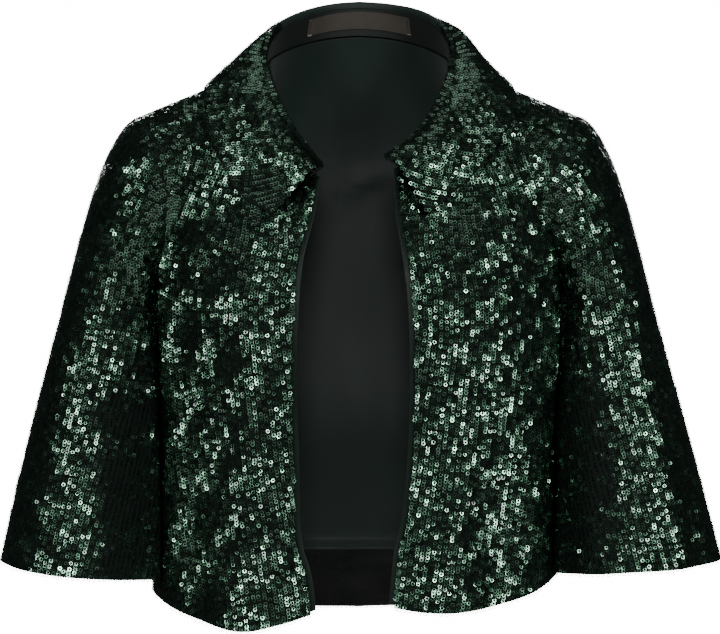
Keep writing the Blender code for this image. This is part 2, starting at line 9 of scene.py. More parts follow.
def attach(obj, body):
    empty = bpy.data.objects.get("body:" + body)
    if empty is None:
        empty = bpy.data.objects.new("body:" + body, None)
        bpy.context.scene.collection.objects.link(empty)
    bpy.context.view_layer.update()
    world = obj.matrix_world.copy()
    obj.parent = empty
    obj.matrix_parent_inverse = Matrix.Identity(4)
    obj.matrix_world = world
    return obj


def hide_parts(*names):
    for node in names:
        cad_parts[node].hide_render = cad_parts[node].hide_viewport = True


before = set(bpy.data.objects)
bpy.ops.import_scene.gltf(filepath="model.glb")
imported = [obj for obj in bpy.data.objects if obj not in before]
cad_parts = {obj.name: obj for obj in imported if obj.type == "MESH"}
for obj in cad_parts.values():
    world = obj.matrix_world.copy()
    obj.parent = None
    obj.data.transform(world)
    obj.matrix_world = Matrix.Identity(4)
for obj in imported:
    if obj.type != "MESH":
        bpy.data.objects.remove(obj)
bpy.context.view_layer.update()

# Outer cloth of the fronts, the back and the sleeves
# A dark green mesh cloth, cut in five pieces and sewn at the shoulders, the sides, the underarms and
# round the armholes. It is worn open, so it hangs from the shoulders and opens in soft folds to the hems.
MM = 0.001
CLOTH_TOP = 0.7
CLOTH_BACK = 2
SEAM_GAP = 0.3
FRONT_NECK_COLUMNS = 24
BACK_NECK_COLUMNS = 15
SHOULDER_COLUMNS = 18
LOWER_ROWS = 27
UPPER_ROWS = 33
FRONT_NECK_SHARE = 0.55
BACK_NECK_SHARE = 0.42

# Torso sections: height, half width on the wearer's right, on the left, depth in front, depth behind
TORSO = np.array([
    (-110, 176, 176, 110, 106), (-205, 183, 183, 129, 105),
    (-245, 183.5, 183, 130, 101), (-330, 183, 181, 122, 95),
    (-420, 185, 180, 118, 103), (-510, 188.5, 179.5, 120, 112),
])
ROUNDNESS = 2.4
UNDERARM_HEIGHT = -205
HEM_LEVEL = -480
STEP_BELOW = 15

# Front opening: height, half gap on the wearer's right, on the wearer's left
OPENING = np.array([
    (-100, 33, 30), (-140, 38.5, 32), (-180, 48, 38), (-230, 52.5, 43),
    (-275, 54, 44), (-375, 52, 41), (-415, 51.5, 36.5), (-435, 49, 31),
    (-455, 42.5, 28.5), (-486, 37.5, 26),
])
STRIP_SHOWING = 4.5

# Hems: distance from the centre, height
FRONT_HEM = {
    -1: np.array([(36, -489), (70, -501), (103, -507), (138, -499.5), (172, -487),
                  (187.5, -478)]),
    1: np.array([(28, -485), (60, -490.5), (92, -490), (127, -484), (160, -473.5),
                 (179.5, -463)]),
}
BACK_HEM = {
    -1: np.array([(0, -506), (90, -502), (150, -489), (187.5, -478)]),
    1: np.array([(0, -506), (90, -499), (150, -479), (179.5, -463)]),
}

# Soft folds that open towards the hem: distance from the centre, height of the fold, half width
FRONT_FOLDS = {
    -1: ((66, -3, 17), (105, 6, 25), (146, -3, 16)),
    1: ((60, -2, 14), (88, 4, 20), (120, -3, 17), (150, 2.5, 15)),
}
BACK_FOLDS = {
    -1: ((32, -3, 22), (84, 5, 26), (132, -3, 18)),
    1: ((38, -2.5, 22), (96, 5, 24), (140, -2.5, 16)),
}
FOLDS_START = -190
FOLDS_FULL = -480

# Armhole from underarm to shoulder: share of its height, distance, depth in front, behind, height
ARMHOLE = np.array([
    (0.00, 183, 0, 0, -205), (0.14, 180, -34, 31, -198), (0.34, 172, -60, 55, -167),
    (0.56, 169, -65, 61, -124), (0.80, 181, -46, 44, -78), (0.92, 193, -22, 21, -56),
    (1.00, 198, 0, 0, -50),
])
ARMHOLE_FADE = 3
OPENING_FADE = 4

# Direction in which each panel reaches its top edge: column share, across, back, up
FRONT_RISE = np.array([(0, 0, 0.30, 0.95), (0.30, 0.05, 0.60, 0.80), (0.55, 0, 0.86, 0.50),
                       (1, 0.10, 0.90, 0.30)])
BACK_RISE = np.array([(0, 0, -0.42, 0.90), (0.42, 0, -0.86, 0.50), (1, 0.10, -0.90, 0.30)])

# Collar stations from centre back over the high shoulder point (fifth) to the front corner:
# neck seam x, y, z, then the inner side of the roll, then the outer edge
COLLAR_BACK = (
    (0, 78, 29, 0, 73.5, 57, 0, 99, -14),
    (28, 74.5, 26.5, 26, 68, 54.5, 48, 95, -15),
    (56, 60, 19, 51, 50.5, 46, 91, 77, -17),
    (76, 34, 8, 71, 29, 33, 122, 45, -20),
    (84, 3, -3.5, 82, 2, 11, 139, 2, -22.5),
    (82.5, -25, -30, 78.5, -25, -18, 137.5, -38, -50),
)
COLLAR_FRONT = {
    -1: ((74, -53, -58, 68.5, -52, -46.5, 132, -65, -75),
         (62, -76, -82, 56, -74, -71, 121, -88, -100),
         (49, -92, -99, 42, -90, -91, 103, -108, -126),
         (37.5, -100, -108, 32.5, -98, -103.5, 76, -117, -141.5)),
    1: ((73.5, -53, -58, 67.5, -52, -47, 125, -66, -76),
        (60, -76, -80, 54, -74, -68, 105, -92, -102),
        (46, -91, -94, 39, -89, -84.5, 86, -108, -119),
        (34.5, -97.5, -101, 24.5, -96, -94, 61, -118, -144)),
}
SHOULDER_STATION = 4
CORNER_STATION = 9
SHOULDER_POINT = np.array((198, 0, -50))
SHOULDER_CURVE = 0.5

# Sleeve rings: height, inner side, outer side of the right sleeve, of the left sleeve, half depth, centre
SLEEVE = np.array([
    (-225, 180, 269, 267, 66, -2), (-280, 169, 283.5, 282, 67, -5),
    (-340, 164, 298.5, 298.5, 69, -8), (-400, 162, 312.5, 314, 71.5, -11),
    (-470, 161, 327.5, 332, 74.5, -14),
])
SLEEVE_ROUNDNESS = 2.15
SLEEVE_CLEARANCE = 2
# Sleeve hem: mean height, drop from the outer to the inner side, drop in front and behind
SLEEVE_HEM = {-1: (-460.5, 7.5, 2), 1: (-456.5, 5.5, 1)}
HEAD_ROWS = 18
TUBE_ROWS = 27
# How the sleeve leaves the armhole, by angle (0 outer, 90 front, 180 underarm, 270 back):
# angle, start across, along, up, then the same at the biceps
SLEEVE_START = np.array([
    (0, 104, 0, -28, 46, 0, -190), (45, 84, -26, -34, 30, 0, -150),
    (90, 62, -24, -52, 14, 2, -100), (135, 34, -10, -28, 6, 2, -50),
    (180, 9, 0, -12, 0, 0, -21), (225, 34, 10, -28, 6, -2, -50),
    (270, 62, 24, -52, 14, -2, -100), (315, 84, 26, -34, 30, 0, -150),
    (360, 104, 0, -28, 46, 0, -190),
])
# Flutes of each sleeve, deepest at the hem: angle, height, half width in degrees
SLEEVE_FLUTES = {
    -1: ((50, 2.5, 14), (78, 4, 20), (128, -5, 20), (232, -4, 18), (285, 4, 18)),
    1: ((46, -2, 12), (68, 4, 13), (91, -3, 11), (112, 3.5, 12), (140, -4.5, 16),
        (225, -4, 18), (262, 4, 16), (300, -3, 14)),
}
FLUTES_START = -170
FLUTES_FULL = -460


def hermite(start, end, start_run, end_run, t):
    """Point at t on the cubic from start to end with the given runs."""
    t2, t3 = t * t, t * t * t
    return ((2 * t3 - 3 * t2 + 1) * start + (t3 - 2 * t2 + t) * start_run
            + (3 * t2 - 2 * t3) * end + (t3 - t2) * end_run)


def spline(knots, values, at):
    """Smooth curve through the values at the knots."""
    knots, values = np.asarray(knots, float), np.asarray(values, float)
    at = float(np.clip(at, knots[0], knots[-1]))
    slopes = np.gradient(values, knots, axis=0)
    i = int(np.clip(np.searchsorted(knots, at, side="right") - 1, 0, len(knots) - 2))
    step = knots[i + 1] - knots[i]
    return hermite(values[i], values[i + 1], slopes[i] * step, slopes[i + 1] * step, (at - knots[i]) / step)


def at_height(table, z):
    """Row of a table whose first column is a falling height, at height z."""
    return spline(-table[:, 0], table[:, 1:], -z)


def unit(vectors):
    return vectors / np.linalg.norm(vectors, axis=-1, keepdims=True)


def fold_height(folds, position):
    """Sum of the soft folds at a position."""
    return sum(height * math.exp(-((position - place) / width) ** 2) for place, height, width in folds)


def growth(z, start, full):
    """0 above start, 1 below full, smooth between."""
    t = min(max((start - z) / (start - full), 0), 1)
    return t * t * (3 - 2 * t)


def edge_distance(z, side):
    """Distance from the centre to the sequinned edge of a front."""
    right, left = at_height(OPENING, z)
    return (left if side > 0 else right) + STRIP_SHOWING


def torso_half_axes(z, side, back):
    """Half width and depth of the torso section on one side."""
    half_right, half_left, front_depth, back_depth = at_height(TORSO, z)
    return (half_left if side > 0 else half_right), (back_depth if back else front_depth)


def torso_point(z, share, side, back):
    """Point of a torso section at a share of the way from the centre to the side seam."""
    half, depth = torso_half_axes(z, side, back)
    start = math.pi / 2
    if not back:
        start = math.acos((edge_distance(z, side) / half) ** (ROUNDNESS / 2))
    angle = start * (1 - share)
    c, s = max(math.cos(angle), 0), max(math.sin(angle), 0)
    x, y = half * c ** (2 / ROUNDNESS), depth * s ** (2 / ROUNDNESS)
    nx, ny = c ** (2 - 2 / ROUNDNESS) / half, s ** (2 - 2 / ROUNDNESS) / depth
    folds = (BACK_FOLDS if back else FRONT_FOLDS)[side]
    lift = fold_height(folds, x) * growth(z, FOLDS_START, FOLDS_FULL) / math.hypot(nx, ny)
    x, y = x + nx * lift, y + ny * lift
    return np.array((x, y if back else -y, z))


def collar_at(side, station):
    """Neck seam, roll and outer edge of the collar at a station, on the +X side."""
    table = np.array(COLLAR_BACK + COLLAR_FRONT[side])
    row = spline(np.arange(len(table)), table, station)
    return row[:3], row[3:6], row[6:]


def neck_stations(back):
    """Stations of the panel columns along the neckline, from the centre to the shoulder."""
    if back:
        return np.linspace(0, SHOULDER_STATION, BACK_NECK_COLUMNS + 1)
    return np.linspace(CORNER_STATION, SHOULDER_STATION, FRONT_NECK_COLUMNS + 1)


def half_panel(side, back):
    """Rows (hem to top) of columns (centre to side) of one half of the body, on the +X side."""
    columns, share = (BACK_NECK_COLUMNS, BACK_NECK_SHARE) if back else (FRONT_NECK_COLUMNS, FRONT_NECK_SHARE)
    shares = np.concatenate([np.linspace(0, share, columns + 1),
                             np.linspace(share, 1, SHOULDER_COLUMNS + 1)[1:]])
    tops = [collar_at(side, station)[0] for station in neck_stations(back)]
    high = tops[-1]
    for i in range(1, SHOULDER_COLUMNS + 1):
        t = i / SHOULDER_COLUMNS
        tops.append(high + (SHOULDER_POINT - high) * t + np.array((0, 0, SHOULDER_CURVE * 4 * t * (1 - t))))
    hem = (BACK_HEM if back else FRONT_HEM)[side]
    rise = BACK_RISE if back else FRONT_RISE
    grid = np.zeros((LOWER_ROWS + UPPER_ROWS + 1, len(shares), 3))
    for j, share in enumerate(shares):
        hem_z = spline(hem[:, 0], hem[:, 1], torso_point(HEM_LEVEL, share, side, back)[0])
        for i in range(LOWER_ROWS + 1):
            z = hem_z + (UNDERARM_HEIGHT - hem_z) * i / LOWER_ROWS
            grid[i, j] = torso_point(z, share, side, back)
        start = grid[LOWER_ROWS, j]
        run = np.linalg.norm(tops[j] - start)
        start_run = unit(start - torso_point(UNDERARM_HEIGHT - STEP_BELOW, share, side, back)) * run
        end_run = unit(spline(rise[:, 0], rise[:, 1:], share)) * run
        for i in range(1, UPPER_ROWS + 1):
            grid[LOWER_ROWS + i, j] = hermite(start, tops[j], start_run, end_run, i / UPPER_ROWS)
    for i in range(1, UPPER_ROWS):
        x, front_y, back_y, z = spline(ARMHOLE[:, 0], ARMHOLE[:, 1:], i / UPPER_ROWS)
        row = grid[LOWER_ROWS + i]
        row += (np.array((x, back_y if back else front_y, z)) - row[-1]) * shares[:, None] ** ARMHOLE_FADE
    if not back:
        for row in grid[LOWER_ROWS + 1:-1]:
            row[:, 0] += (edge_distance(row[0, 2], side) - row[0, 0]) * (1 - shares) ** OPENING_FADE
    return grid


def sleeve_ring_point(z, angle, side):
    """Point of the sleeve's section at a height and an angle round it."""
    inner, outer_right, outer_left, depth, centre_y = at_height(SLEEVE, z)
    outer = outer_left if side > 0 else outer_right
    centre, half = (inner + outer) / 2, (outer - inner) / 2
    c, s = math.cos(angle), math.sin(angle)
    power = 2 / SLEEVE_ROUNDNESS
    lift = fold_height(SLEEVE_FLUTES[side], math.degrees(angle)) * growth(z, FLUTES_START, FLUTES_FULL)
    x = centre + math.copysign(abs(c) ** power, c) * half + c * lift
    y = centre_y - math.copysign(abs(s) ** power, s) * depth - s * lift
    body_half, body_depth = torso_half_axes(z, side, y > 0)
    body_x = body_half * max(1 - abs(y / body_depth) ** ROUNDNESS, 0) ** (1 / ROUNDNESS)
    return np.array((max(x, body_x + SLEEVE_CLEARANCE), y, z))


def sleeve_tube(side, armhole):
    """Rows (armhole to hem) of a sleeve, each a ring from the outer side over the front."""
    count = len(armhole)
    rings = np.zeros((HEAD_ROWS + TUBE_ROWS + 1, count, 3))
    mean, slant, dip = SLEEVE_HEM[side]
    for j in range(count):
        angle = 2 * math.pi * j / count
        runs = spline(SLEEVE_START[:, 0], SLEEVE_START[:, 1:], math.degrees(angle))
        biceps = sleeve_ring_point(SLEEVE[0, 0], angle, side)
        for i in range(HEAD_ROWS + 1):
            rings[i, j] = hermite(armhole[j], biceps, runs[:3], runs[3:], i / HEAD_ROWS)
        hem = mean + slant * math.cos(angle) + dip * math.cos(2 * angle)
        for i in range(1, TUBE_ROWS + 1):
            z = SLEEVE[0, 0] + (hem - SLEEVE[0, 0]) * i / TUBE_ROWS
            rings[HEAD_ROWS + i, j] = sleeve_ring_point(z, angle, side)
    return rings


# The two sides, what mirrors each, and their columns: at a front's open edge, where the back has its side
# seam, and at a front's side seam
SIDES = {"left": 1, "right": -1}
MIRROR = {1: np.array((1, 1, 1)), -1: np.array((-1, 1, 1))}
EDGE = {1: 0, -1: -1}
SEAM = {1: -1, -1: 0}
MITRE_LIMIT = 0.2


def armhole_ring(front, back, side, inset=0):
    """Points of the body panels round one armhole, in the order of the sleeve's ring, some columns inside."""
    at_front, at_back = (-1 - inset, inset)[::side]
    return [*front[LOWER_ROWS:, at_front][::-1], *back[LOWER_ROWS:, at_back][1:-1]]


def normals_of(grid, ring=False):
    """Outward unit normal at each point of a grid."""
    if ring:
        across = np.roll(grid, -1, axis=1) - np.roll(grid, 1, axis=1)
    else:
        across = np.gradient(grid, axis=1)
    return unit(np.cross(across, np.gradient(grid, axis=0)))


def mitre(first, second, side=1):
    """Two meeting edges share one direction, except where one piece turns back on the other."""
    for a, b in zip(first, second):
        if np.dot(a * MIRROR[side], b) > MITRE_LIMIT:
            mean = unit(a * MIRROR[side] + b)
            a[:] = mean * MIRROR[side]
            b[:] = mean


front = {side: half_panel(side, back=False)[:, ::side] * MIRROR[side] for side in SIDES.values()}
back = np.concatenate([half_panel(1, back=True)[:, ::-1],
                       half_panel(-1, back=True)[:, 1:] * MIRROR[-1]], axis=1)
sleeve = {side: sleeve_tube(side, np.array(armhole_ring(front[side], back, side)) * MIRROR[side])
          for side in SIDES.values()}
front_out = {side: normals_of(front[side]) for side in SIDES.values()}
back_out = normals_of(back)
sleeve_out = {side: normals_of(sleeve[side], ring=True) for side in SIDES.values()}
for side in SIDES.values():
    mitre(front_out[side][:LOWER_ROWS + 1, SEAM[side]], back_out[:LOWER_ROWS + 1, EDGE[side]])
    of_front, of_back = (slice(-1 - SHOULDER_COLUMNS, None), slice(1 + SHOULDER_COLUMNS))[::side]
    mitre(front_out[side][-1, of_front], back_out[-1, of_back][::-1])
    mitre(sleeve_out[side][0], armhole_ring(front_out[side], back_out, side), side)


def square_to_edge(edge, inner, ring=False):
    """Unit steps from an edge towards the line inside it, square to the edge."""
    along = unit(np.roll(edge, -1, axis=0) - np.roll(edge, 1, axis=0) if ring else np.gradient(edge, axis=0))
    step = inner - edge
    return unit(step - along * np.sum(step * along, axis=1, keepdims=True))


def set_back(grid, sides=(), ends=(), ring=False):
    """Pulls the sewn edges of a grid back by half the seam gap."""
    result = grid.copy()
    for column in sides:
        result[:, column] += square_to_edge(grid[:, column], grid[:, 1 if column == 0 else -2]) * SEAM_GAP / 2
    for row in ends:
        result[row] += square_to_edge(grid[row], grid[1 if row == 0 else -2], ring) * SEAM_GAP / 2
    return result


SHARP_FOLD = math.radians(50)


def quads(index):
    """Faces between neighbouring rows and columns of point numbers."""
    return np.stack([index[:-1, :-1], index[:-1, 1:], index[1:, 1:], index[1:, :-1]], axis=-1).reshape(-1, 4)


def add_object(name, data):
    """A new object in the scene."""
    thing = bpy.data.objects.new(name, data)
    bpy.context.scene.collection.objects.link(thing)
    return thing


def add_piece(name, mesh):
    """A piece of the jacket, on its one body."""
    piece = add_object(name, mesh)
    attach(piece, "root")
    return piece


def sew_cloth(name, outer, inner, finishes, ring=False, other_face=0):
    """Thin cloth between two skins, in one mesh. The inner skin can have a finish of its own."""
    rows, columns = outer.shape[:2]
    points = np.concatenate([outer.reshape(-1, 3), inner.reshape(-1, 3)]) * MM
    index = np.arange(rows * columns).reshape(rows, columns)
    if ring:
        index = np.concatenate([index, index[:, :1]], axis=1)
    under = index + rows * columns
    out, into = quads(index), quads(under)[:, [0, 3, 2, 1]]
    rims = [(under[0], index[0]), (index[-1], under[-1]),
            (index[:, 0], under[:, 0]), (under[:, -1], index[:, -1])]
    rim = np.concatenate([quads(np.stack(pair)) for pair in rims[:2 if ring else 4]])
    mesh = bpy.data.meshes.new(name)
    mesh.from_pydata(points.tolist(), [], np.concatenate([out, into, rim]).tolist())
    mesh.polygons.foreach_set("material_index", [0] * len(out) + [other_face] * len(into) + [0] * len(rim))
    for finish in finishes:
        mesh.materials.append(finish)
    mesh.shade_smooth()
    mesh.set_sharp_from_angle(angle=SHARP_FOLD)
    return add_piece(name, mesh)


def set_inputs(tree, node, inputs):
    """Gives each named socket of a shader node its value, or a link where it is another node's output."""
    for socket, value in inputs.items():
        if isinstance(value, bpy.types.NodeSocket):
            tree.links.new(value, node.inputs[socket])
        else:
            node.inputs[socket].default_value = value


def add_node(tree, kind, inputs, **settings):
    """A new shader node with its settings and inputs."""
    node = tree.nodes.new("ShaderNode" + kind)
    for setting, value in settings.items():
        setattr(node, setting, value)
    set_inputs(tree, node, inputs)
    return node


def new_finish(name, inputs):
    """A material, its nodes, and its Principled shader with the given inputs."""
    finish = bpy.data.materials.new(name)
    finish.use_nodes = True
    shader = finish.node_tree.nodes["Principled BSDF"]
    set_inputs(finish.node_tree, shader, inputs)
    return finish, finish.node_tree, shader


def cloth_weave():
    """Threads that cross at a given spacing, with soft uneven patches: a mask of both and a height."""
    group = bpy.data.node_groups.new("cloth_weave", "ShaderNodeTree")
    for way, kind, names in (("INPUT", "Float", ("Threads per metre", "Patches per metre")),
                             ("INPUT", "Color", ("Thread Colour", "Gap Colour")),
                             ("OUTPUT", "Color", ("Colour",)), ("OUTPUT", "Float", ("Height", "Patch"))):
        for name in names:
            group.interface.new_socket(name=name, in_out=way, socket_type="NodeSocket" + kind)
    given = group.nodes.new("NodeGroupInput").outputs
    place = add_node(group, "TexCoord", {}).outputs["Object"]
    across, along = (add_node(group, "TexWave", {"Vector": place, "Scale": given["Threads per metre"],
                                                 "Distortion": 0.6, "Detail": 1},
                              bands_direction=direction).outputs["Fac"] for direction in "XZ")
    threads = add_node(group, "Math", {0: across, 1: along}, operation="MAXIMUM").outputs[0]
    patches = add_node(group, "TexNoise", {"Vector": place, "Scale": given["Patches per metre"],
                                           "Detail": 3}).outputs["Fac"]
    share = add_node(group, "Math", {0: threads, 1: patches}, operation="MULTIPLY").outputs[0]
    mix = add_node(group, "Mix", {"Factor": share, "A": given["Gap Colour"], "B": given["Thread Colour"]},
                   data_type="RGBA")
    set_inputs(group, group.nodes.new("NodeGroupOutput"),
               {"Colour": mix.outputs["Result"], "Height": threads, "Patch": patches})
    return group


weave = cloth_weave()
WORN_ROUGHER = 0.06
THREAD_RELIEF = 0.0002


def woven_finish(name, thread, gap, roughness, threads, patches, relief, sheen=0, shine=0.5):
    """A cloth finish: weave and patches in the colour, the roughness and the relief."""
    finish, tree, shader = new_finish(name, {"Roughness": roughness, "Sheen Weight": sheen,
                                             "Specular IOR Level": shine})
    cloth = add_node(tree, "Group", {"Threads per metre": threads, "Patches per metre": patches,
                                     "Thread Colour": (*thread, 1), "Gap Colour": (*gap, 1)},
                     node_tree=weave).outputs
    rough = add_node(tree, "MapRange", {"Value": cloth["Patch"], "To Min": roughness - WORN_ROUGHER,
                                        "To Max": roughness + WORN_ROUGHER}).outputs["Result"]
    bump = add_node(tree, "Bump", {"Height": cloth["Height"], "Strength": relief, "Distance": THREAD_RELIEF})
    set_inputs(tree, shader, {"Base Color": cloth["Colour"], "Roughness": rough,
                              "Normal": bump.outputs["Normal"]})
    return finish


# The mesh, right side and wrong side: colour of thread and of gaps, roughness, threads and patches per
# metre, relief
mesh_cloth = woven_finish("mesh_cloth", (0.003, 0.008, 0.005), (0.001, 0.003, 0.002), 0.7, 900, 60, 0.5,
                          shine=0.1)
mesh_wrong_side = woven_finish("mesh_wrong_side", (0.014, 0.020, 0.017), (0.005, 0.007, 0.006), 0.7, 700,
                               30, 0.4)


def panel_cloth(node, grid, out, sides, ends, ring=False):
    """Mesh cloth of one panel, just under its sequins."""
    edge = set_back(grid, sides, ends, ring)
    cloth = sew_cloth(node + "_cloth", edge - out * CLOTH_TOP, edge - out * CLOTH_BACK,
                      (mesh_cloth, mesh_wrong_side), ring, other_face=1)
    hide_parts(node)
    return cloth


front_cloth = {side: panel_cloth(f"front_{hand}", front[side], front_out[side], (SEAM[side],), (-1,))
               for hand, side in SIDES.items()}
back_cloth = panel_cloth("back", back, back_out, (0, -1), (-1,))
sleeve_cloth = {side: panel_cloth(f"sleeve_{hand}", (sleeve[side] * MIRROR[side])[:, ::side],
                                  (sleeve_out[side] * MIRROR[side])[:, ::side], (), (0,), True)
                for hand, side in SIDES.items()}

# Bindings of the armhole seams: a strip of the mesh inside each, from the wrong side of the body over the
# seam to the wrong side of the sleeve. How far it reaches each way, how deep it lies, and how far over
BINDING_REACH = 5
BINDING_DEPTH = 2.4
BINDING_OVER = 3.6
BINDING_THICKNESS = 0.3
for hand, side in SIDES.items():
    edge, beside = (np.array(armhole_ring(front[side], back, side, inset)) * MIRROR[side] for inset in (0, 1))
    edge_out = np.array(armhole_ring(front_out[side], back_out, side)) * MIRROR[side]
    head_out = sleeve_out[side][0]
    to_body, to_sleeve = unit(beside - edge), unit(sleeve[side][1] - sleeve[side][0])
    over = -unit(edge_out + head_out + to_body + to_sleeve)
    strip = np.stack([edge + to_body * BINDING_REACH - edge_out * BINDING_DEPTH,
                      edge + to_body - edge_out * BINDING_DEPTH, edge + over * BINDING_OVER,
                      edge + to_sleeve - head_out * BINDING_DEPTH,
                      edge + to_sleeve * BINDING_REACH - head_out * BINDING_DEPTH])
    inward = np.stack([-edge_out, -edge_out, over, -head_out, -head_out])
    strip, inside = (part[:, ::side] * MIRROR[side] for part in (strip, strip + inward * BINDING_THICKNESS))
    sew_cloth(f"armhole_binding_{hand}", strip, inside, (mesh_wrong_side,),
                               True)

# Sequins of the fronts, the back and the sleeves
# Small dished rings of dark green lacquered foil, sewn through their holes in rows down each panel.
# Each lies over the one below it like a shingle. Whole chains lie at one slant, so they shine together.
SEQUIN_RADIUS = 1.77
HOLE_RADIUS = 1.09
SEQUIN_DISH = 0.015
SEQUIN_HEIGHT = 0.05
SEQUIN_LEAN = math.radians(5)
RING_CORNERS = 7
SEQUIN_PITCH = 2.7
ZIGZAG = 0.2
ROW_SPACING = 4.7
ROW_START = -0.9
ROW_END = 1.8
LEAST_AHEAD = 0.01
EDGE_ROW_INSET = 1.9
LINE_STEPS = 8
BARE_MARGIN = 5.5
BARE_SIDE_SEAM = (-285, -200)
# Unevenness of the sewing: in place, at a row's start, in height and in size, and how a row sways: size
# and rate of each wave
UNEVEN_PLACE = 0.12
UNEVEN_START = 0.6
UNEVEN_HEIGHT = 0.05
UNEVEN_SIZE = 0.03
ROW_SWAY = ((0.22, 0.9), (0.15, 2.3))
# How a sequin leans out of its row, in degrees: over a patch, over a chain, alone, and where one is loose
PATCH_LEAN = 5
CHAIN_LEAN = 5
OWN_LEAN = 4
LOOSE_LEAN = 12
LOOSE_SHARE = 0.15
PATCH_WAVES = 6
PATCH_LENGTHS = (14, 60)
LARGEST_PHASE = 6.3
CHAIN_LENGTHS = (1, 2, 3, 4, 5, 6, 8)
CHAIN_SHARES = (0.22, 0.20, 0.18, 0.15, 0.12, 0.08, 0.05)
# Shade of the foil from dark to bright, its spread, and its share round the hole of that at the rim: painted
# shade that darkens each ring towards its hole
FOIL_SHADES = ((0.014, 0.041, 0.025, 1), (0.190, 0.385, 0.250, 1))
SHADE_SPREAD = 0.28
HOLE_PAINTED_SHADE = 0.15
# Half width of a sequin in its own square of its UV map
SQUARE_SHARE = 0.42
# Where tight cloth or a small fold turns the sequins of the outside in front: x, height, half width,
# half height, then the pull across, back and up. It fades out round the sides.
TURNED_FADE = 3
TURNED = (
    (-210, -375, 30, 100, 0.80, 0, -0.20), (208, -375, 36, 100, -0.80, 0, -0.20),
    (-178, -235, 26, 60, 0.20, -0.9, 0), (180, -235, 22, 60, -0.10, -0.9, 0),
    (-112, -158, 26, 56, 0, 0, -0.65), (85, -185, 26, 45, 0, 0, -0.30),
    (-148, -375, 18, 100, 0.20, -0.6, 0), (146, -380, 18, 90, -0.10, -0.30, 0),
    (115, -365, 16, 140, -0.12, -0.1, 0.12), (82, -365, 18, 140, 0.06, 0, 0.10),
    (-174, -126, 22, 28, 0, 0, -0.70), (178, -124, 22, 28, 0, 0, -0.50),
    (-210, -195, 24, 72, 0, 0, -0.36), (212, -188, 24, 68, 0, 0, -0.32),
    (76, -292, 26, 42, 0.07, 0, 0.06), (-80, -228, 30, 60, 0.14, 0, 0.05),
    (-79, -128, 17, 28, 0, 0, -0.75), (98, -138, 34, 36, 0, 0, -0.65),
)


def panel_at(panel, rows, columns):
    """Values of a panel at fractional rows and columns."""
    i = np.clip(rows.astype(int), 0, len(panel) - 2)
    j = np.clip(columns.astype(int), 0, panel.shape[1] - 2)
    t, u = (rows - i)[:, None], (columns - j)[:, None]
    return ((panel[i, j] * (1 - u) + panel[i, j + 1] * u) * (1 - t)
            + (panel[i + 1, j] * (1 - u) + panel[i + 1, j + 1] * u) * t)


def travelled(points, axis):
    """Distance travelled from the first point along an axis of points."""
    steps = np.linalg.norm(np.diff(points, axis=axis), axis=-1)
    return np.insert(np.cumsum(steps, axis=axis), 0, 0, axis=axis)


def stitches_on(panel, rows, columns, random):
    """Places for sequins along one line over a panel: point, outward normal and direction of the row."""
    found = []
    inside = ~np.isnan(columns)
    for run in np.split(np.arange(len(rows)), np.flatnonzero(np.diff(inside.astype(int))) + 1):
        if not inside[run[0]] or len(run) < 3:
            continue
        values = panel_at(panel, rows[run], columns[run])
        reach = travelled(values[:, :3], 0)
        at = np.arange(ROW_START + UNEVEN_START * random.random(), reach[-1] - ROW_END, SEQUIN_PITCH)
        at += random.normal(0, UNEVEN_PLACE, len(at))
        place, before, after = (np.stack([np.interp(spots, reach, column) for column in values.T], axis=1)
                                for spots in (at, at - 1, np.maximum(at + 1, LEAST_AHEAD)))
        ahead = (after - before)[:, :3]
        place[:, :3] += unit(ahead) * np.minimum(at, 0)[:, None]
        across = unit(np.cross(ahead, place[:, 3:]))
        place[:, :3] += across * (ZIGZAG * (-1) ** np.arange(len(at)))[:, None]
        found.append(np.concatenate([place, ahead], axis=1))
    return found


def fine_rows(grid, steps, first=0):
    """Fractional rows of a grid, so many steps to a row."""
    return np.arange(first * steps, (len(grid) - 1) * steps + 1) / steps


def rows_down(grid, out, anchor, seed):
    """Sequin places in rows that run up a panel from its hem, a row spacing apart over the cloth.

    Grid rows run from the hem up. Anchor is the column, in each of them, that the rows are counted from.
    """
    random = np.random.default_rng(seed)
    panel = np.concatenate([grid, out], axis=2)
    columns = np.arange(grid.shape[1])
    reach = travelled(grid, 1)
    reach -= np.array([[np.interp(a, columns, row)] for a, row in zip(anchor, reach)])
    most = int(np.abs(reach).max() / ROW_SPACING) + 1
    places = ROW_SPACING * (np.arange(-most, most) + 0.5)
    places += random.normal(0, UNEVEN_PLACE, len(places))
    heights = fine_rows(grid, LINE_STEPS)
    wander = random.uniform(0, 2 * math.pi, (2, len(places)))
    lines = np.empty((len(heights), len(places)))
    for n, height in enumerate(heights):
        i = min(int(height), len(grid) - 2)
        here = reach[i] + (reach[i + 1] - reach[i]) * (height - i)
        sway = sum(size * np.sin(height * rate + phase) for (size, rate), phase in zip(ROW_SWAY, wander))
        lines[n] = np.interp(places + sway, here, columns, left=np.nan, right=np.nan)
    return np.concatenate([part for line in lines.T for part in stitches_on(panel, heights, line, random)])


def row_beside(grid, out, edge, seed):
    """Sequin places in one row up a panel, close beside its first or its last column."""
    panel = np.concatenate([grid, out], axis=2)
    order = slice(None) if edge == 0 else slice(None, None, -1)
    columns = np.arange(grid.shape[1])[order]
    beside = [np.interp(EDGE_ROW_INSET, row, columns) for row in travelled(grid[:, order], 1)]
    heights = fine_rows(grid, LINE_STEPS)
    line = np.interp(heights, np.arange(len(grid)), beside)
    return np.concatenate(stitches_on(panel, heights, line, np.random.default_rng(seed)))


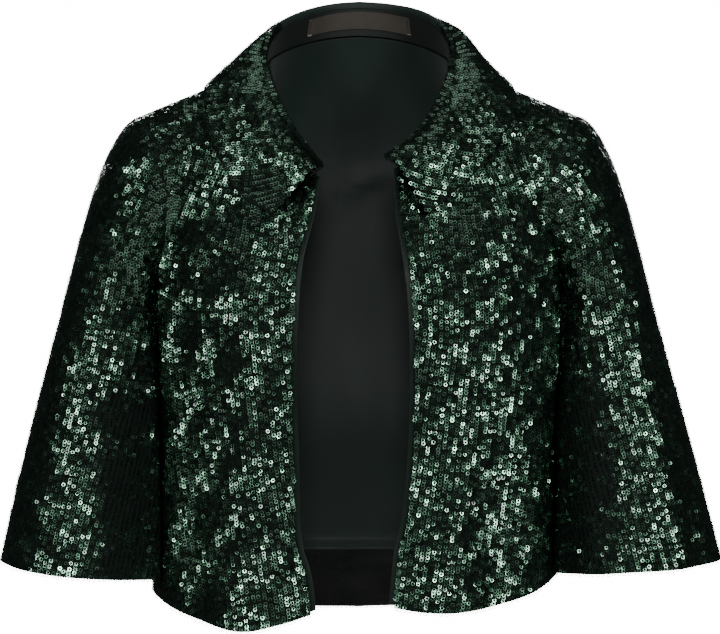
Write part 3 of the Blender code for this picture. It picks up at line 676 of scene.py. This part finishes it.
def foil_finish():
    """Lacquered green foil: each sequin a shade of its own, darker round its hole as painted shade, finely
    scratched.
    """
    finish, tree, shader = new_finish("sequin_foil", {
        "Roughness": 0.2, "Metallic": 1, "Coat Weight": 0.6, "Coat Roughness": 0.12,
        "Specular Tint": (0.4, 0.6, 0.5, 1)})
    # The attribute carries each sequin's own shade and the painted shade round its hole
    tone_with_painted_hole_shade, polish = (add_node(tree, "Attribute", {}, attribute_name=name).outputs["Fac"]
                    for name in ("tone_with_painted_hole_shade", "polish"))
    shades = add_node(tree, "ValToRGB", {"Fac": tone_with_painted_hole_shade})
    for stop, shade in zip(shades.color_ramp.elements, FOIL_SHADES):
        stop.color = shade
    place = add_node(tree, "TexCoord", {}).outputs["Object"]
    scratches = add_node(tree, "TexNoise", {"Vector": place, "Scale": 900, "Detail": 2}).outputs["Fac"]
    worn = add_node(tree, "Math", {0: polish, 1: scratches}, operation="MULTIPLY").outputs[0]
    rough = add_node(tree, "MapRange", {"Value": worn, "From Max": 0.7, "To Min": 0.10, "To Max": 0.48})
    bump = add_node(tree, "Bump", {"Height": scratches, "Strength": 0.05, "Distance": 0.0001})
    set_inputs(tree, shader, {"Base Color": shades.outputs["Color"], "Roughness": rough.outputs["Result"],
                              "Normal": bump.outputs["Normal"]})
    return finish


foil = foil_finish()


def sew_sequins(name, places, seed, spread=1):
    """Rings of foil at the given places, in one mesh. Spread scales how unevenly they lie."""
    random = np.random.default_rng(seed)
    count = len(places)
    centre, out, way = places[:, :3], unit(places[:, 3:6]), unit(places[:, 6:])
    in_front = np.clip(-out[:, 1:2] * TURNED_FADE, 0, 1)
    for x, z, width, height, *pull in TURNED:
        near = np.exp(-((centre[:, :1] - x) / width) ** 2 - ((centre[:, 2:] - z) / height) ** 4)
        out = out + near * in_front * np.array(pull)
    out = unit(out)
    across = np.cross(way, out)
    lean = np.zeros((count, 2))
    for _ in range(PATCH_WAVES):
        wave = random.normal(0, 1, 3)
        wave *= 2 * math.pi / random.uniform(*PATCH_LENGTHS) / np.linalg.norm(wave)
        lean += PATCH_LEAN / math.sqrt(3) * random.normal(0, 1, 2) * np.sin(
            centre @ wave + random.uniform(0, LARGEST_PHASE))[:, None]
    chain = np.repeat(np.arange(count), random.choice(CHAIN_LENGTHS, count, p=CHAIN_SHARES))[:count]
    lean += random.normal(0, CHAIN_LEAN, (count, 2))[chain]
    own = np.where(random.random(count) < LOOSE_SHARE, LOOSE_LEAN, OWN_LEAN)
    lean = np.radians(lean + random.normal(0, 1, (count, 2)) * own[:, None]) * spread
    face = unit(out + way * np.tan(SEQUIN_LEAN + lean[:, :1]) + across * np.tan(lean[:, 1:]))
    up = unit(way - face * np.sum(way * face, axis=1, keepdims=True))
    side = np.cross(up, face)
    centre = centre + out * (SEQUIN_HEIGHT + random.normal(0, UNEVEN_HEIGHT, count))[:, None]
    turn = random.uniform(0, math.pi / 4, count)[:, None]
    size = random.normal(1, UNEVEN_SIZE, count)
    corner = np.arange(RING_CORNERS)
    angles = 2 * math.pi * corner / RING_CORNERS
    ring = np.stack([np.cos(angles), np.sin(angles)], axis=1)
    flat = np.concatenate([ring, ring * HOLE_RADIUS / SEQUIN_RADIUS])
    x, y = flat.T
    turned = np.stack([x * np.cos(turn) - y * np.sin(turn), x * np.sin(turn) + y * np.cos(turn)], axis=2)
    turned *= (SEQUIN_RADIUS * size)[:, None, None]
    points = centre[:, None] + turned[..., :1] * side[:, None] + turned[..., 1:] * up[:, None]
    points[:, RING_CORNERS:] -= SEQUIN_DISH * face[:, None]
    after = (corner + 1) % RING_CORNERS
    faces = np.stack([corner, after, after + RING_CORNERS, corner + RING_CORNERS], axis=1)
    corners = (np.arange(count)[:, None, None] * len(flat) + faces).ravel()
    mesh = bpy.data.meshes.new(name)
    mesh.vertices.add(count * len(flat))
    mesh.vertices.foreach_set("co", (points * MM).astype(np.float32).ravel())
    mesh.loops.add(len(corners))
    mesh.loops.foreach_set("vertex_index", corners.astype(np.int32))
    mesh.polygons.add(count * RING_CORNERS)
    mesh.polygons.foreach_set("loop_start", np.arange(0, len(corners), 4, dtype=np.int32))
    mesh.update(calc_edges=True)
    shade = np.clip(random.normal(0.5, SHADE_SPREAD, count), 0, 1)
    # Each ring keeps its own shade at the rim, and a painted shade round its hole
    tones_with_painted_hole_shade = np.repeat(np.stack([shade, shade * HOLE_PAINTED_SHADE], axis=1), RING_CORNERS, axis=1)
    polish = np.repeat(random.random(count), len(flat))
    for kind, values in (("tone_with_painted_hole_shade", tones_with_painted_hole_shade), ("polish", polish)):
        data = mesh.attributes.new(kind, "FLOAT", "POINT").data
        data.foreach_set("value", values.astype(np.float32).ravel())
    cells = math.ceil(math.sqrt(count))
    cell = np.stack(np.divmod(np.arange(count), cells)[::-1], axis=1)
    squares = (cell[:, None, None] + 0.5 + SQUARE_SHARE * flat[faces]) / cells
    mesh.uv_layers.new(name="OFBake").data.foreach_set("uv", squares.astype(np.float32).ravel())
    mesh.shade_smooth()
    mesh.materials.append(foil)
    return add_piece(name, mesh)


# Line that the rows of a front run beside: height, distance from the centre
ROWS_ALONG = np.array([(-490, 72), (-430, 81), (-370, 91.5), (-310, 97.5), (-245, 105),
                       (-215, 105), (-160, 96), (-100, 88)])


def columns_along(grid, side):
    """Column of each grid row of a front that lies on that line."""
    return [np.interp(side * np.interp(row[:, 2].mean(), ROWS_ALONG[:, 0], ROWS_ALONG[:, 1]), row[:, 0],
                      np.arange(len(row))) for row in grid]


def opened(ring):
    """A sleeve's rings cut open along the underarm, rows from the hem up."""
    half = ring.shape[1] // 2
    turned = np.roll(ring, half, axis=1)[::-1]
    return np.concatenate([turned, turned[:, :1]], axis=1)


for seed, (hand, side) in enumerate(SIDES.items(), 11):
    panel, panel_out = front[side], front_out[side]
    places = np.concatenate([rows_down(panel, panel_out, columns_along(panel, side), seed),
                             row_beside(panel, panel_out, EDGE[side], seed + 20)])
    sew_sequins(f"front_{hand}_sequins", places, seed + 10)

# The back stays bare close beside its neck seam and its side seams below the underarm
middle = back.shape[1] // 2
places = rows_down(back, back_out, [middle] * len(back), 13)
side_seams = back[:, [0, -1]].reshape(-1, 3)
low, high = BARE_SIDE_SEAM
bare = np.concatenate([back[-1, np.abs(np.arange(back.shape[1]) - middle) <= BACK_NECK_COLUMNS],
                       side_seams[(side_seams[:, 2] < high) & (side_seams[:, 2] > low)]])
from_bare = np.linalg.norm(places[:, None, :3] - bare[None], axis=2).min(axis=1)
places = places[from_bare > BARE_MARGIN]
back_sequins = [sew_sequins("back_left_sequins", places[places[:, 0] > 0], 23),
                sew_sequins("back_right_sequins", places[places[:, 0] <= 0], 24)]

for seed, (hand, side) in enumerate(SIDES.items(), 14):
    tube = opened(sleeve[side])
    places = rows_down(tube, opened(sleeve_out[side]), [tube.shape[1] // 2] * len(tube), seed)
    places[:, ::3] *= side
    sew_sequins(f"sleeve_{hand}_sequins", places, seed + 10)

# Collar fall
# The outer part of the turn-down collar, of the same sequinned cloth. It rolls over the neck edge and lies
# over the shoulders, its rows of sequins running out across it. Behind the neck, satin comes over the fold.
COLLAR_TOP = 0.7
COLLAR_BACK_FACE = 1.8
COLLAR_STAND_OFF = 4
ROLL_RADIUS = 3.2
ROLL_TURN_IN = 3.5
ROLL_ROWS = 9
FALL_ROWS = 28
FALL_SWELL = 0.85
FALL_DROP = 0.30
FALL_DRAW = 0.85
FALL_FINISH = 0.30
# How much higher the roll stands on each side: station, height, half width in stations
ROLL_RAISED = {-1: ((0, 1.3, 1.1),), 1: ((0, 1.3, 1.1), (2.4, 2.6, 1.1))}
# How much fuller the fall is below the roll, as a share of its width: station, share, half width
FALL_FULLER = {-1: ((3.8, 0.20, 0.4),), 1: ((3.4, 0.75, 0.6),)}
# Height of the outer edge above the body: station, height
EDGE_LIFT = np.array([(0, 4.5), (3, 5), (4, 4.2), (6, 5.2), (8, 7), (9, 8.5)])
COLLAR_ROW_SPACING = 5.2
COLLAR_SPREAD = 0.9
COLLAR_LINE_STEPS = 4
# How far rows are counted past the ends of the fall's middle line, and past each front corner
ROWS_PAST_ENDS = 40
ROWS_PAST_CORNER = 60
# How many stations a row drifts on its way over the fall, at stations from the back to the corner
SLANT_STATIONS = (0, 5, CORNER_STATION)
ROW_SLANTS = (0, 1.2, 2.1)
FOLD_OF_SATIN = 3


def body_surface(grids):
    """Search tree over the outside of the body panels."""
    points, faces = [], []
    for grid in grids:
        index = np.arange(grid.shape[0] * grid.shape[1]).reshape(grid.shape[:2]) + len(points)
        points += grid.reshape(-1, 3).tolist()
        faces += quads(index).tolist()
    return BVHTree.FromPolygons(points, faces)


body = body_surface((front[1], front[-1], back))


def kept_off(point, height, exact=False):
    """The point moved out to at least a height above the body, or to exactly that height."""
    place, normal = (np.array(part) for part in body.find_nearest(Vector(point))[:2])
    if exact or np.dot(point - place, normal) < height:
        return place + normal * height
    return point


def collar_frames():
    """Side and station of each collar column, and its neck seam, roll centre, up, outward, edge and drop."""
    half = np.concatenate([neck_stations(False), neck_stations(True)[::-1][1:]])
    columns = [(-1, station) for station in half] + [(1, station) for station in half[:-1][::-1]]
    places = []
    for side, station in columns:
        neck, roll, edge = (p * MIRROR[side] for p in collar_at(side, station))
        roll[2] += fold_height(ROLL_RAISED[side], station)
        edge = kept_off(edge, spline(EDGE_LIFT[:, 0], EDGE_LIFT[:, 1], station), exact=True)
        places.append((neck, roll, edge, FALL_DROP - fold_height(FALL_FULLER[side], station)))
    frames = []
    for i, (neck, roll, edge, drop) in enumerate(places):
        along = unit(places[min(i + 1, len(places) - 1)][1] - places[max(i - 1, 0)][1])
        up = roll - neck
        up = unit(up - along * np.dot(up, along))
        outward = unit(np.cross(along, -up))
        frames.append((neck, roll + outward * ROLL_RADIUS, up, outward, edge, drop))
    return columns, frames


def fall_grid(frames):
    """Rows of the fall: turned in under the roll, over it, and down to the outer edge."""
    rows = [[] for _ in range(ROLL_ROWS + 1 + FALL_ROWS)]
    for _, centre, up, outward, edge, drop in frames:
        rows[0].append(centre - outward * ROLL_RADIUS - up * ROLL_TURN_IN)
        for k in range(ROLL_ROWS):
            angle = math.pi * (1 - k / (ROLL_ROWS - 1))
            rows[1 + k].append(centre + ROLL_RADIUS * (math.cos(angle) * outward + math.sin(angle) * up))
        start = centre + outward * ROLL_RADIUS
        run = np.linalg.norm(edge - start)
        start_run = (outward * FALL_SWELL - up * drop) * run
        end_run = (edge - start) * FALL_DRAW - up * run * FALL_FINISH
        for k in range(1, FALL_ROWS + 1):
            point = hermite(start, edge, start_run, end_run, k / FALL_ROWS)
            rows[ROLL_ROWS + k].append(kept_off(point, COLLAR_STAND_OFF))
    return np.array(rows)


def rows_across(grid, out, columns, seed):
    """Sequin places in rows that run over the collar from its roll to its outer edge."""
    random = np.random.default_rng(seed)
    panel = np.concatenate([grid, out], axis=2)
    stations = np.array([side * station for side, station in columns])
    reach = travelled(grid[ROLL_ROWS + FALL_ROWS // 2], 0)
    along = np.arange(-ROWS_PAST_ENDS, reach[-1] + ROWS_PAST_ENDS, COLLAR_ROW_SPACING)
    starts = np.interp(along, reach, stations)
    end_run = abs((reach[1] - reach[0]) / (stations[1] - stations[0]))
    beyond = np.arange(COLLAR_ROW_SPACING, ROWS_PAST_CORNER, COLLAR_ROW_SPACING) / end_run
    starts = np.unique(np.concatenate([starts, CORNER_STATION + beyond, -CORNER_STATION - beyond]))
    rows = fine_rows(grid, COLLAR_LINE_STEPS, first=1)
    out_from_roll = np.clip((rows - ROLL_ROWS) / FALL_ROWS, 0, 1)
    found = []
    for start in starts:
        slant = np.interp(abs(start), SLANT_STATIONS, ROW_SLANTS)
        at = math.copysign(1, start) * (abs(start) - slant * (out_from_roll - 0.5))
        line = np.interp(at, stations, np.arange(len(stations)), left=np.nan, right=np.nan)
        line[(np.abs(at) < FOLD_OF_SATIN) & (rows < ROLL_ROWS)] = np.nan
        found += stitches_on(panel, rows, line, random)
    found = np.concatenate(found)
    found[:, 6:] *= -1
    return found


collar_columns, collar = collar_frames()
fall = fall_grid(collar)
fall_out = normals_of(fall)
satin = woven_finish("satin", (0.012, 0.021, 0.018), (0.008, 0.014, 0.012), 0.45, 2600, 14, 0.12, 0.05, 0.14)
collar_fall_cloth = sew_cloth("collar_fall_cloth", fall - fall_out * COLLAR_TOP,
                              fall - fall_out * COLLAR_BACK_FACE, (mesh_cloth, satin),
                              other_face=1)
spans = len(collar) - 1
for row in range(ROLL_ROWS - 1):
    for span in range(spans):
        if collar_columns[span][1] < FOLD_OF_SATIN:
            collar_fall_cloth.data.polygons[row * spans + span].material_index = 1
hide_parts("collar_fall")
collar_places = rows_across(fall, fall_out, collar_columns, 16)
collar_sequins = sew_sequins("collar_sequins", collar_places, 26, COLLAR_SPREAD)

# Collar stand
# The inside of the collar: a strip of dark green satin, sewn into the neck seam and under the roll. It
# follows the neck all round, and behind the neck it carries the label.
ROLL_GAP = 0.6
SATIN_THICKNESS = 1.2
STAND_ROWS = 9
stand = np.zeros((STAND_ROWS, len(collar), 3))
for j, (neck, centre, up, outward, _, _) in enumerate(collar):
    top = centre - outward * (ROLL_RADIUS - SATIN_THICKNESS) - up * (ROLL_TURN_IN + ROLL_GAP)
    low = neck + up * ROLL_GAP
    stand[:, j] = top + (low - top) * np.arange(STAND_ROWS)[:, None] / (STAND_ROWS - 1)
stand_out = normals_of(stand)
stand_face = stand - stand_out * SATIN_THICKNESS
# A darker copy of the lining's satin: its darkness is painted shade
stand_satin_painted_shade = woven_finish("stand_satin_painted_shade", (0.008, 0.012, 0.011), (0.005, 0.007, 0.006), 0.5, 2600, 14, 0.12,
                           0.05, 0.14)
collar_stand_satin = sew_cloth("collar_stand_satin", stand, stand_face, (stand_satin_painted_shade,))
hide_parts("collar_stand")

# Label
# A strip of brown woven tape with nothing on it, its ends turned under and tacked to the stand.
# Widths along it are in columns of the stand, heights in shares of the stand.
LABEL_COLUMNS = 6.75
LABEL_TOP = 0.10
LABEL_BOTTOM = 0.74
LABEL_GAP = 0.6
LABEL_THICKNESS = 0.8
LABEL_ROWS = 8
END_FOLD = 0.42
END_STEPS = (0, 0.12, 0.24, END_FOLD - 0.08, END_FOLD, END_FOLD + 0.08)
MIDDLE_INSET = 0.8
MIDDLE_STEPS = 24
GROOVE_DEPTH = 0.45
GROOVE_WIDTH = 0.07
label_face = np.concatenate([stand_face, stand_out], axis=2)
neck_middle = len(collar) // 2
ends = np.array([-LABEL_COLUMNS + step for step in END_STEPS])
inside = np.linspace(-LABEL_COLUMNS + MIDDLE_INSET, LABEL_COLUMNS - MIDDLE_INSET, MIDDLE_STEPS)
label_columns = neck_middle + np.concatenate([ends, inside, -ends[::-1]])
label_rows = np.linspace(LABEL_TOP, LABEL_BOTTOM, LABEL_ROWS) * (STAND_ROWS - 1)
label = np.array([panel_at(label_face, np.full(len(label_columns), row), label_columns)
                  for row in label_rows])
label_out = unit(label[..., 3:])
from_fold = np.abs(label_columns - neck_middle) - LABEL_COLUMNS + END_FOLD
groove = GROOVE_DEPTH * np.exp(-(from_fold / GROOVE_WIDTH) ** 2)
label_under = label[..., :3] - label_out * LABEL_GAP
label_top = label_under - label_out * (LABEL_THICKNESS - groove[None, :, None])
label_tape = woven_finish("label_tape", (0.044, 0.038, 0.030), (0.020, 0.017, 0.013), 0.6, 1500, 90, 0.5,
                          shine=0.3)
label_piece = sew_cloth("label_tape_strip", label_under, label_top, (label_tape,))
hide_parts("label")

# The tacks: columns from the middle, share of the label's height, of both ends, and how wide a thread is
TACKS = ((-6.72, 0.90, -6.15, 0.97), (-6.66, 0.97, -6.10, 0.99), (6.70, 0.90, 6.25, 0.97),
         (-6.70, 0.04, -6.50, 0.03))
TACK_WIDTH = 0.55
TACK_HEIGHT = 0.15
tack_thread = woven_finish("tack_thread", (0.34, 0.31, 0.26), (0.16, 0.14, 0.12), 0.6, 4000, 200, 0.3)
label_tops = np.concatenate([label_top, label_out], axis=2)
for number, (start, low_start, end, low_end) in enumerate(TACKS):
    at = neck_middle + np.array((start, end))
    heights = np.array((low_start, low_end)) * (LABEL_ROWS - 1)
    places = panel_at(label_tops, heights, np.interp(at, label_columns, np.arange(len(label_columns))))
    out = unit(places[:, 3:])
    step = unit(np.cross(places[1, :3] - places[0, :3], out)) * TACK_WIDTH / 2
    foot = np.stack([places[:, :3] - step, places[:, :3] + step])
    sew_cloth(f"label_tack_{number}", foot, foot - out * TACK_HEIGHT, (tack_thread,))

# Back lining
# Dark green satin inside the back, sewn in at the neck and the shoulders. Its hem is turned up and
# stitched, and hangs free above the hem of the jacket.
LINING_HEM = -451
LINING_LOOSE = 0.6
HEM_FOLD = 12
# Heights above the lining's hem at which its turned-up edge is shaped, and from the last to the next row
HEM_STEPS = (0, 0.6, 1.2, 1.9, 3, 6, 9, 10.8, 11.6, 12.4, 13.2, 15, 19, 25)
NEXT_ROW = 6
# How its pressing dents the satin: height above the hem, depth, half width; and how thin the satin gets
PRESSED = ((HEM_FOLD, 0.55, 1.1), (5, -0.5, 4), (0.4, -0.7, 1.2))
THINNEST_SATIN = 0.5
# Creases of the lining, each a soft ridge between two points: x, height, x, height, size, half width
LINING_CREASES = (
    (-22, -134, -14, -115, 1.6, 6), (-14, -115, -2, -104, 1.8, 6),
    (-2, -104, 24, -99, 1.6, 6), (-50, -30, -38, -46, 0.8, 5),
    (-60, -180, -52, -300, 1.4, 18), (34, -200, 28, -360, 1.6, 22),
    (-20, -300, -12, -440, 1.2, 14), (58, -260, 66, -440, 1.6, 16),
    (-110, -240, -96, -440, 1.6, 20), (112, -200, 104, -440, 1.6, 20),
    (-40, -420, 4, -432, 0.8, 6), (-90, -90, -60, -160, 1.4, 16),
    (88, -80, 60, -150, 1.4, 16),
)


def crease_height(creases, points):
    """Sum of soft ridges drawn between two points each, at points seen from the front."""
    lift = np.zeros(points.shape[:-1])
    for x1, z1, x2, z2, size, width in creases:
        run = np.array((x2 - x1, z2 - z1))
        away = points[..., (0, 2)] - np.array((x1, z1))
        t = np.clip(away @ run / (run @ run), 0, 1)
        gap = np.linalg.norm(away - t[..., None] * run, axis=-1)
        lift += size * np.exp(-(gap / width) ** 2)
    return lift


def level_rows(panel, heights):
    """Rows of a panel at the given heights: for each row one height, or one for each column."""
    heights = np.broadcast_to(np.array(heights).reshape(len(heights), -1), (len(heights), panel.shape[1]))
    return np.stack([np.stack([np.interp(heights[:, j], column[:, 2], value) for value in column.T], axis=1)
                     for j, column in enumerate(panel.transpose(1, 0, 2))], axis=1)


back_panel = np.concatenate([back, back_out], axis=2)
next_height = LINING_HEM + HEM_STEPS[-1] + NEXT_ROW
first = max(int(np.argmax(back[:, column, 2] > next_height)) for column in (0, middle))
lining = np.concatenate([level_rows(back_panel[:first + 1], [LINING_HEM + step for step in HEM_STEPS]),
                         back_panel[first:]])
lining_out = unit(lining[..., 3:])
lining_outer = lining[..., :3] - lining_out * (CLOTH_BACK + SEAM_GAP + LINING_LOOSE)
lining_outer = set_back(lining_outer, (0, -1), (-1,))
above_hem = lining[..., 2] - LINING_HEM
pressed = sum(depth * np.exp(-((above_hem - place) / width) ** 2) for place, depth, width in PRESSED)
inward = SATIN_THICKNESS - pressed + crease_height(LINING_CREASES, lining[..., :3])
lining_inner = lining_outer - lining_out * np.maximum(inward, THINNEST_SATIN)[..., None]
lining_satin = sew_cloth("lining_satin", lining_outer, lining_inner, (satin,))
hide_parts("lining_back")

# Hem facing of the back
# A band of dark cloth sewn inside the sequinned hem, which it backs below the lining. It is creased
# from wear.
FACING_TOP = -440
FACING_UNDER = 2.2
FACING_THICKNESS = 0.5
FACING_ROWS = 12
ABOVE_HEM = 1.6
# Height below which it is creased, the height that the creases take to grow, and how high they get
CREASED_BELOW = -455
CREASES_GROW = 8
HIGHEST_CREASE = 2
FACING_CREASES = (
    (-14, -505, 6, -462, 2, 5), (-32, -505, -20, -468, 1.4, 5),
    (20, -500, 32, -466, 1.4, 6), (-60, -500, -48, -462, 0.8, 7),
    (70, -498, 60, -462, 0.8, 7), (-110, -495, -104, -460, 0.8, 8),
    (120, -488, 112, -460, 0.8, 8), (4, -470, 34, -462, 0.5, 4),
)
hem_line = back[0, :, 2] + ABOVE_HEM
band = level_rows(back_panel, [hem_line + (FACING_TOP - hem_line) * share
                               for share in np.linspace(0, 1, FACING_ROWS)])
band_out = unit(band[..., 3:])
band_under = band[..., :3] - band_out * FACING_UNDER
grown = np.clip((CREASED_BELOW - band[..., 2]) / CREASES_GROW, 0, 1)
creased = np.minimum(crease_height(FACING_CREASES, band[..., :3]), HIGHEST_CREASE) * grown
band_face = band_under - band_out * (FACING_THICKNESS + creased)[..., None]
facing_cloth = woven_finish("hem_facing_cloth", (0.002, 0.004, 0.003), (0.001, 0.002, 0.001), 0.27, 1800, 25,
                            0.2, shine=0.17)
back_hem_band = sew_cloth("back_hem_band", band_under, band_face, (facing_cloth,))

# Front facings
# A strip of dark green satin sewn inside each front edge, from the collar's corner to the hem. Its folded
# edge shows past the sequins as a narrow line.
FACING_STRIP = 1
STRIP_RAISED = 2.5
FACING_COLUMNS = 3
# The folded lip from its edge inwards: distance past the sequins' edge, and how far each face draws in
LIP = ((STRIP_SHOWING, 0.35), (STRIP_SHOWING - 0.35, 0.1), (STRIP_SHOWING - 1, 0), (2, 0), (0, 0))
strip_satin = woven_finish("strip_satin", (0.005, 0.013, 0.009), (0.003, 0.007, 0.005), 0.4, 2600, 20, 0.12,
                           0, 0.12)
for hand, side in SIDES.items():
    panel = front[side].copy()
    panel[0] += unit(panel[1] - panel[0]) * STRIP_RAISED
    edge, hidden = EDGE[side], EDGE[side] + side * FACING_COLUMNS
    line, line_out = panel[:, edge], front_out[side][:, edge]
    step = unit(line - panel[:, edge + side])
    outer, inner = ([line + step * along - line_out * drop * turn for along, drop in LIP] + [panel[:, hidden]]
                    for turn in (1, -1))
    ways = [line_out] * len(LIP) + [front_out[side][:, hidden]]
    outer, inner, ways = (np.stack(part[::side], axis=1) for part in (outer, inner, ways))
    outer = outer - ways * (CLOTH_BACK + SEAM_GAP)
    inner = inner - ways * (CLOTH_BACK + SEAM_GAP + FACING_STRIP)
    facing = sew_cloth(f"facing_{hand}_satin", outer, inner, (strip_satin,))
    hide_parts(f"facing_{hand}")

# Floor, light and camera
# A plain pale floor well below the hem, soft lamps all round and above, and the camera straight in front
# at chest height.
FLOOR_HEIGHT = -1.1
FLOOR_RADIUS = 1.6
FLOOR_CORNERS = 64
turns = [2 * math.pi * k / FLOOR_CORNERS for k in range(FLOOR_CORNERS)]
floor_mesh = bpy.data.meshes.new("floor")
floor_mesh.from_pydata([(FLOOR_RADIUS * math.cos(turn), FLOOR_RADIUS * math.sin(turn), FLOOR_HEIGHT)
                        for turn in turns], [], [range(FLOOR_CORNERS)])
floor_finish, _, _ = new_finish("pale_floor", {"Roughness": 0.8, "Base Color": (0.86, 0.86, 0.86, 1)})
floor_mesh.materials.append(floor_finish)
add_object("floor", floor_mesh)

# Lamps: place, size across, size up, power
LAMPS = (
    ((0, -2.9, 0.3), 0.5, 0.5, 34), ((0, 2.9, 0.3), 0.5, 0.5, 34),
    ((-1.65, -1.95, 0.55), 0.5, 0.8, 29), ((1.65, -1.95, 0.55), 0.5, 0.8, 38),
    ((-0.8, 2.7, 0.55), 0.5, 0.8, 28), ((0.8, 2.7, 0.55), 0.5, 0.8, 28),
    ((-1.4, -1.2, 1.9), 0.6, 0.6, 7), ((1.4, -1.2, 1.9), 0.6, 0.6, 7),
    ((0, 0.3, 2.2), 1.5, 1.1, 8),
)
AIM = Vector((0, 0, -0.24))
for number, (place, width, height, power) in enumerate(LAMPS):
    light = bpy.data.lights.new(f"lamp_{number}", "AREA")
    light.shape = "RECTANGLE"
    light.size, light.size_y, light.energy = width, height, power
    lamp = add_object(f"lamp_{number}", light)
    lamp.location = place
    lamp.rotation_euler = (AIM - Vector(place)).to_track_quat("-Z", "Y").to_euler()
    lamp.visible_camera = False

# The room gives a weak light all round. Behind the jacket, only the camera sees its white paper.
ROOM_LIGHT = 0.055
PAPER_LIGHT = 20
world = bpy.data.worlds.new("studio")
world.use_nodes = True
tree = world.node_tree
room = tree.nodes["Background"]
set_inputs(tree, room, {"Color": (0.9, 0.95, 0.93, 1), "Strength": ROOM_LIGHT})
paper = add_node(tree, "Background", {"Strength": PAPER_LIGHT})
seen = add_node(tree, "LightPath", {}).outputs["Is Camera Ray"]
choose = add_node(tree, "MixShader", {"Fac": seen, 1: room.outputs[0], 2: paper.outputs[0]})
set_inputs(tree, tree.nodes["World Output"], {"Surface": choose.outputs["Shader"]})
bpy.context.scene.world = world

CAMERA_PLACE = (0.0009, -2.7, -0.233)
FOCAL_LENGTH = 148.85
camera_lens = bpy.data.cameras.new("camera")
camera_lens.sensor_width = 36
camera_lens.lens = FOCAL_LENGTH
camera = add_object("camera", camera_lens)
camera.location = CAMERA_PLACE
camera.rotation_euler = (math.pi / 2, 0, 0)
bpy.context.scene.camera = camera
